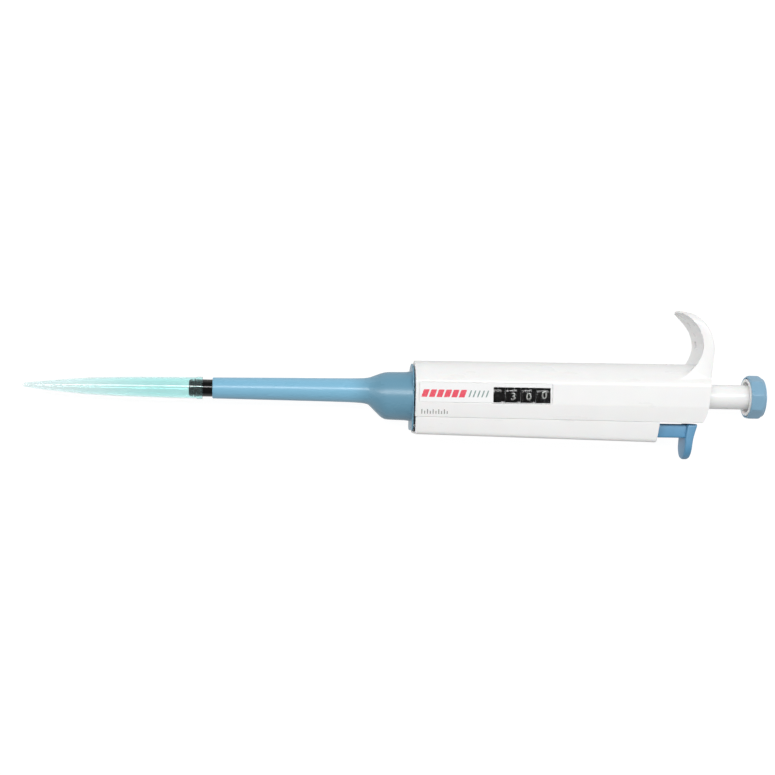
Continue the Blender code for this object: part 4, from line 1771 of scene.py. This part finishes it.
# ---- plunger -----------------------------------------------------------------------------
@dataclass
class Plunger:
    """The white rod and the push button: a blue cap of nine flats over a white liner.

    Attributes:
        stem_radius: Radius of the rod.
        stem: Where the rod starts and ends.
        cap: Where the cap starts and ends.
        cap_radius: Radius over the cap's ridges.
        cap_bore: Radius of the cap's inside.
        cap_seat: Where its inside ends.
        facets: Number of its flats.
        turn: How far the flats are turned, in radians.
        blending: Width over which a flat runs into the round parts.
        shoulder: Where the cap's dome starts to be finely stepped.
        dome: How far along the cap the dome starts, and how much wider its round is.
        dome_power: How square the dome is.
        under: How far the cap's rim is drawn in, and how sharply.
        liner: Radius of the liner.
        liner_lip: How far the liner stands out of the cap.
        liner_end: Where the liner ends inside the cap.
        recess: Radius of the liner's hollow.
        recess_end: Where the hollow ends.
        sides: Points round the cap.
    """

    stem_radius: float = 5.1
    stem: Flat = (96.0, 143.3)
    cap: Flat = (139.8, 148.0)
    cap_radius: float = 9.2
    cap_bore: float = 8.0
    cap_seat: float = 146.3
    facets: int = 9
    turn: float = math.radians(4.0)
    blending: float = 0.12
    shoulder: float = 145.0
    dome: Flat = (2.6, 0.35)
    dome_power: float = 2.6
    under: Flat = (0.75, 1.6)
    liner: float = 7.7
    liner_lip: float = 0.3
    liner_end: float = 146.0
    recess: float = 6.5
    recess_end: float = 143.6
    sides: int = 216

    def cap_limit(self, x: float) -> float:
        """The round that trims the cap's ridges by its domed end and its rim.

        Args:
            x: Where it is.

        Returns:
            Its radius there.
        """
        start, end = self.cap
        dome_start, dome_radius = start + self.dome[0], self.cap_radius + self.dome[1]
        over = max(0.0, x - dome_start) / (end - dome_start)
        limit = dome_radius * math.sqrt(max(0.0, 1 - over ** self.dome_power)) + 0.001
        under = max(0.0, 1.0 - (x - start))
        deep, sharp = self.under
        return min(limit, self.cap_radius + 0.1 - deep * under ** sharp)

    def cap_ring(self, x: float) -> Ring:
        """The cap's section: its flats, run softly into the round that trims them.

        Args:
            x: Where it is.

        Returns:
            The points round it.
        """
        flat, limit, blend = math.pi / self.facets, self.cap_limit(x), self.blending
        ring = []
        for i in range(self.sides):
            angle = math.tau * i / self.sides
            off = (angle - self.turn + flat) % (2 * flat) - flat
            side = self.cap_radius * math.cos(flat) / math.cos(abs(off) - flat)
            reach = -math.log(math.exp(-side / blend) + math.exp(-limit / blend)) * blend
            ring.append((x, reach * math.cos(angle), reach * math.sin(angle)))
        return ring

    def button(self) -> None:
        """The cap."""
        (start, end), shoulder = self.cap, self.shoulder
        inside = ((self.cap_seat, self.cap_bore), (start + 0.2, self.cap_bore),
                  (start, self.cap_bore + 0.12))
        inner = [circle(x, r, self.sides) for x, r in inside]
        spots = steps_between(start, start + 1.2, 8) + steps_between(start + 1.5, shoulder, 10)
        turns = steps_between(0.08, 1.5, 22)
        spots += [shoulder + (end - shoulder) * math.sin(a) for a in turns]
        cap = Bench.skin("button_cap_skin", inner + [self.cap_ring(x) for x in spots])
        Bench.dress(cap, Look.CAP, Body.PLUNGER, "button_blue", "button_cap")

    def cup(self) -> None:
        """The liner inside the cap."""
        lip = self.cap[0] - self.liner_lip
        profile = [
            (self.recess_end, 0.01), (self.recess_end, self.recess), (lip, self.recess),
            (lip, self.liner), (self.liner_end, self.liner), (self.liner_end, 0.01),
        ]
        liner = Bench.turned("button_liner_cup", profile, 0.2, False, 128)
        Bench.dress(liner, Look.ROD, Body.PLUNGER, "white_plastic", "button_liner")

    def rod(self) -> None:
        """The white rod."""
        (low, high), radius = self.stem, self.stem_radius
        profile = [(low, 0.01), (low, radius - 0.3), (low + 0.3, radius), (high, radius),
                   (high, 0.01)]
        rod = Bench.turned("plunger_rod", profile, 0.15, False, 128)
        Bench.dress(rod, Look.ROD, Body.PLUNGER, "white_plastic", "plunger_stem")

    def make(self) -> None:
        """Builds the plunger."""
        self.rod()
        self.button()
        self.cup()


# ---- works -------------------------------------------------------------------------------
@dataclass
class Works:
    """The inner pieces, which keep their CAD shapes and get their finishes here.

    Attributes:
        finishes: The finish for each material slot of the record.
    """

    finishes: dict[str, Look] = field(default_factory=lambda: {
        "steel": Look.STEEL, "brass": Look.BRASS, "grey_polymer": Look.GREY,
        "seal_polymer": Look.CREAM, "black_rubber": Look.RUBBER, "white_plastic": Look.WHITE,
        "black_plastic": Look.BLACK, "blue_plastic": Look.BLUE, "clear_lens": Look.LENS,
        "label_film": Look.FILM, "button_blue": Look.CAP, "clear_teal_plastic": Look.TEAL,
    })

    def make(self) -> None:
        """Dresses every node by its slot in the record."""
        for part in frame["record"]["subparts"]:
            node = frame["nodes"][part["node"]]
            look = self.finishes[part["material_slot"]]
            node.data.materials.clear()
            node.data.materials.append(look.material())


# ---- studio ------------------------------------------------------------------------------
@dataclass
class SoftBox:
    """A rectangular light that points at the pipette.

    Attributes:
        name: Its name.
        place: Where it is, in metres.
        size: Its length along x and its width, in metres.
        power: Its power in watts.
    """

    name: str
    place: Point
    size: Flat
    power: float

    def make(self, aim: Vector) -> None:
        """Hangs the light.

        Args:
            aim: What it points at, in the frame's metres.
        """
        light = bpy.data.lights.new(self.name, "AREA")
        light.shape = "RECTANGLE"
        light.size, light.size_y = self.size
        light.energy = self.power
        made = bpy.data.objects.new(self.name, light)
        away = (Vector(self.place) - aim).normalized()
        made.matrix_world = facing(Vector(self.place), away, Vector((1, 0, 0)))
        bpy.context.scene.collection.objects.link(made)


def facing(place: Vector, away: Vector, across: Vector) -> Matrix:
    """The stand of a light or a camera.

    Args:
        place: Where it stands.
        away: The direction from what it looks at, of length 1.
        across: The direction that its x axis takes, as near as it can.

    Returns:
        Its matrix in the frame.
    """
    side = (across - away * across.dot(away)).normalized()
    turn = Matrix((side, away.cross(side), away)).transposed().to_4x4()
    return Matrix.Translation(place) @ turn


@dataclass
class Studio:
    """A pale table seen from above, soft light all round, and a long soft box above.

    Attributes:
        aim: What the camera looks at, on the drawing.
        distance: How far the camera is from it.
        yaw: How far the camera is swung towards the tip, in radians.
        roll: How far it is rolled, in radians.
        lens: Its focal length.
        sensor: Width of its sensor, in the focal length's unit.
        clip: The nearest and furthest that it sees, in metres.
        floor_size: Side of the table, in metres.
        floor_tones: Lowest and highest grey of the table.
        floor_glow: How brightly the table glows, so that it stays pale.
        below: Strength of the light from below.
        above: Strength of the light from above.
        horizon: Heights between which one runs into the other.
        boxes: The soft boxes.
    """

    aim: Point = (-10.66, 1.5, 0.0)
    distance: float = 656.0
    yaw: float = math.radians(5.0)
    roll: float = math.radians(1.017)
    lens: float = 74.3
    sensor: float = 36.0
    clip: Flat = (0.01, 20.0)
    floor_size: float = 30.0
    floor_tones: Flat = (0.10, 0.12)
    floor_glow: float = 0.96
    below: float = 0.78
    above: float = 0.12
    horizon: Flat = (-0.1, 0.3)
    boxes: tuple[SoftBox, ...] = (
        SoftBox("long_box", (-0.05, 0.25, 0.865), (1.5, 0.16), 8.9),
        SoftBox("left_box", (-1.1, 0.1, 0.65), (0.7, 0.7), 2.0),
        SoftBox("right_box", (1.1, 0.1, 0.65), (0.7, 0.7), 2.5),
    )

    def floor(self) -> None:
        """The table top."""
        data = bpy.data.meshes.new("table")
        shape = bmesh.new()
        bmesh.ops.create_grid(shape, x_segments=1, y_segments=1, size=self.floor_size / 2)
        shape.to_mesh(data)
        shape.free()
        table = bpy.data.objects.new("table", data)
        bpy.context.scene.collection.objects.link(table)
        board = NodeBoard("pale_table")
        shade = board.span(board.noise(TABLE_CLOUDS, 3.0), (0.3, 0.7), (0.0, 1.0))
        low, high = ((tone, tone, tone) for tone in self.floor_tones)
        board.wire(board.blend(shade, low, high), board.shader.inputs["Base Color"])
        board.fix(Roughness=0.9, Specular_IOR_Level=0.1, Emission_Color=(1, 1, 1, 1),
                  Emission_Strength=self.floor_glow)
        table.visible_diffuse = table.visible_glossy = False
        data.materials.append(board.material)
        table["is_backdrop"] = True

    def world(self) -> None:
        """Soft light from all round, brighter from below as off a pale table."""
        world = bpy.data.worlds.new("soft_room")
        world.use_nodes = True
        tree = world.node_tree
        sky = tree.nodes["Background"]
        sky.inputs["Color"].default_value = (1.0, 1.0, 1.0, 1.0)
        coords = tree.nodes.new("ShaderNodeTexCoord")
        split = tree.nodes.new("ShaderNodeSeparateXYZ")
        span = tree.nodes.new("ShaderNodeMapRange")
        values = (*self.horizon, self.below, self.above)
        for key, value in zip(("From Min", "From Max", "To Min", "To Max"), values):
            span.inputs[key].default_value = value
        tree.links.new(coords.outputs["Generated"], split.inputs["Vector"])
        tree.links.new(split.outputs["Z"], span.inputs["Value"])
        tree.links.new(span.outputs["Result"], sky.inputs["Strength"])
        bpy.context.scene.world = world

    def camera(self) -> None:
        """The camera, above the pipette and a little to the tip's side."""
        data = bpy.data.cameras.new("camera")
        data.lens, data.sensor_width = self.lens, self.sensor
        data.clip_start, data.clip_end = self.clip
        camera = bpy.data.objects.new("camera", data)
        away = Vector((-math.sin(self.yaw), 0.0, math.cos(self.yaw)))
        across = Vector((math.cos(self.roll), math.sin(self.roll), 0.0))
        place = DATUM.place(self.aim) + away * self.distance * MM
        camera.matrix_world = facing(place, away, across)
        bpy.context.scene.collection.objects.link(camera)
        bpy.context.scene.camera = camera

    def make(self) -> None:
        """Sets the studio up."""
        self.floor()
        self.world()
        for box in self.boxes:
            box.make(DATUM.place((0.0, 0.0, 0.0)))
        self.camera()
        view = bpy.context.scene.view_settings
        view.view_transform = "Standard"
        view.look = "None"


def main() -> None:
    """Builds the pieces in order, then the studio."""
    logging.basicConfig(level=logging.INFO, format="%(name)s: %(message)s")
    Works().make()
    handle = Handle()
    handle.make()
    Counter().make()
    Nozzle().make()
    Tip().make()
    Ejector().make(handle.outline)
    Plunger().make()
    Studio().make()
    boxes = {"cad": CAD_BOX, "visual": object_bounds()}
    {k: [list(map(float, c)) for c in v] for k, v in boxes.items()}


if __name__ == "__main__":
    main()
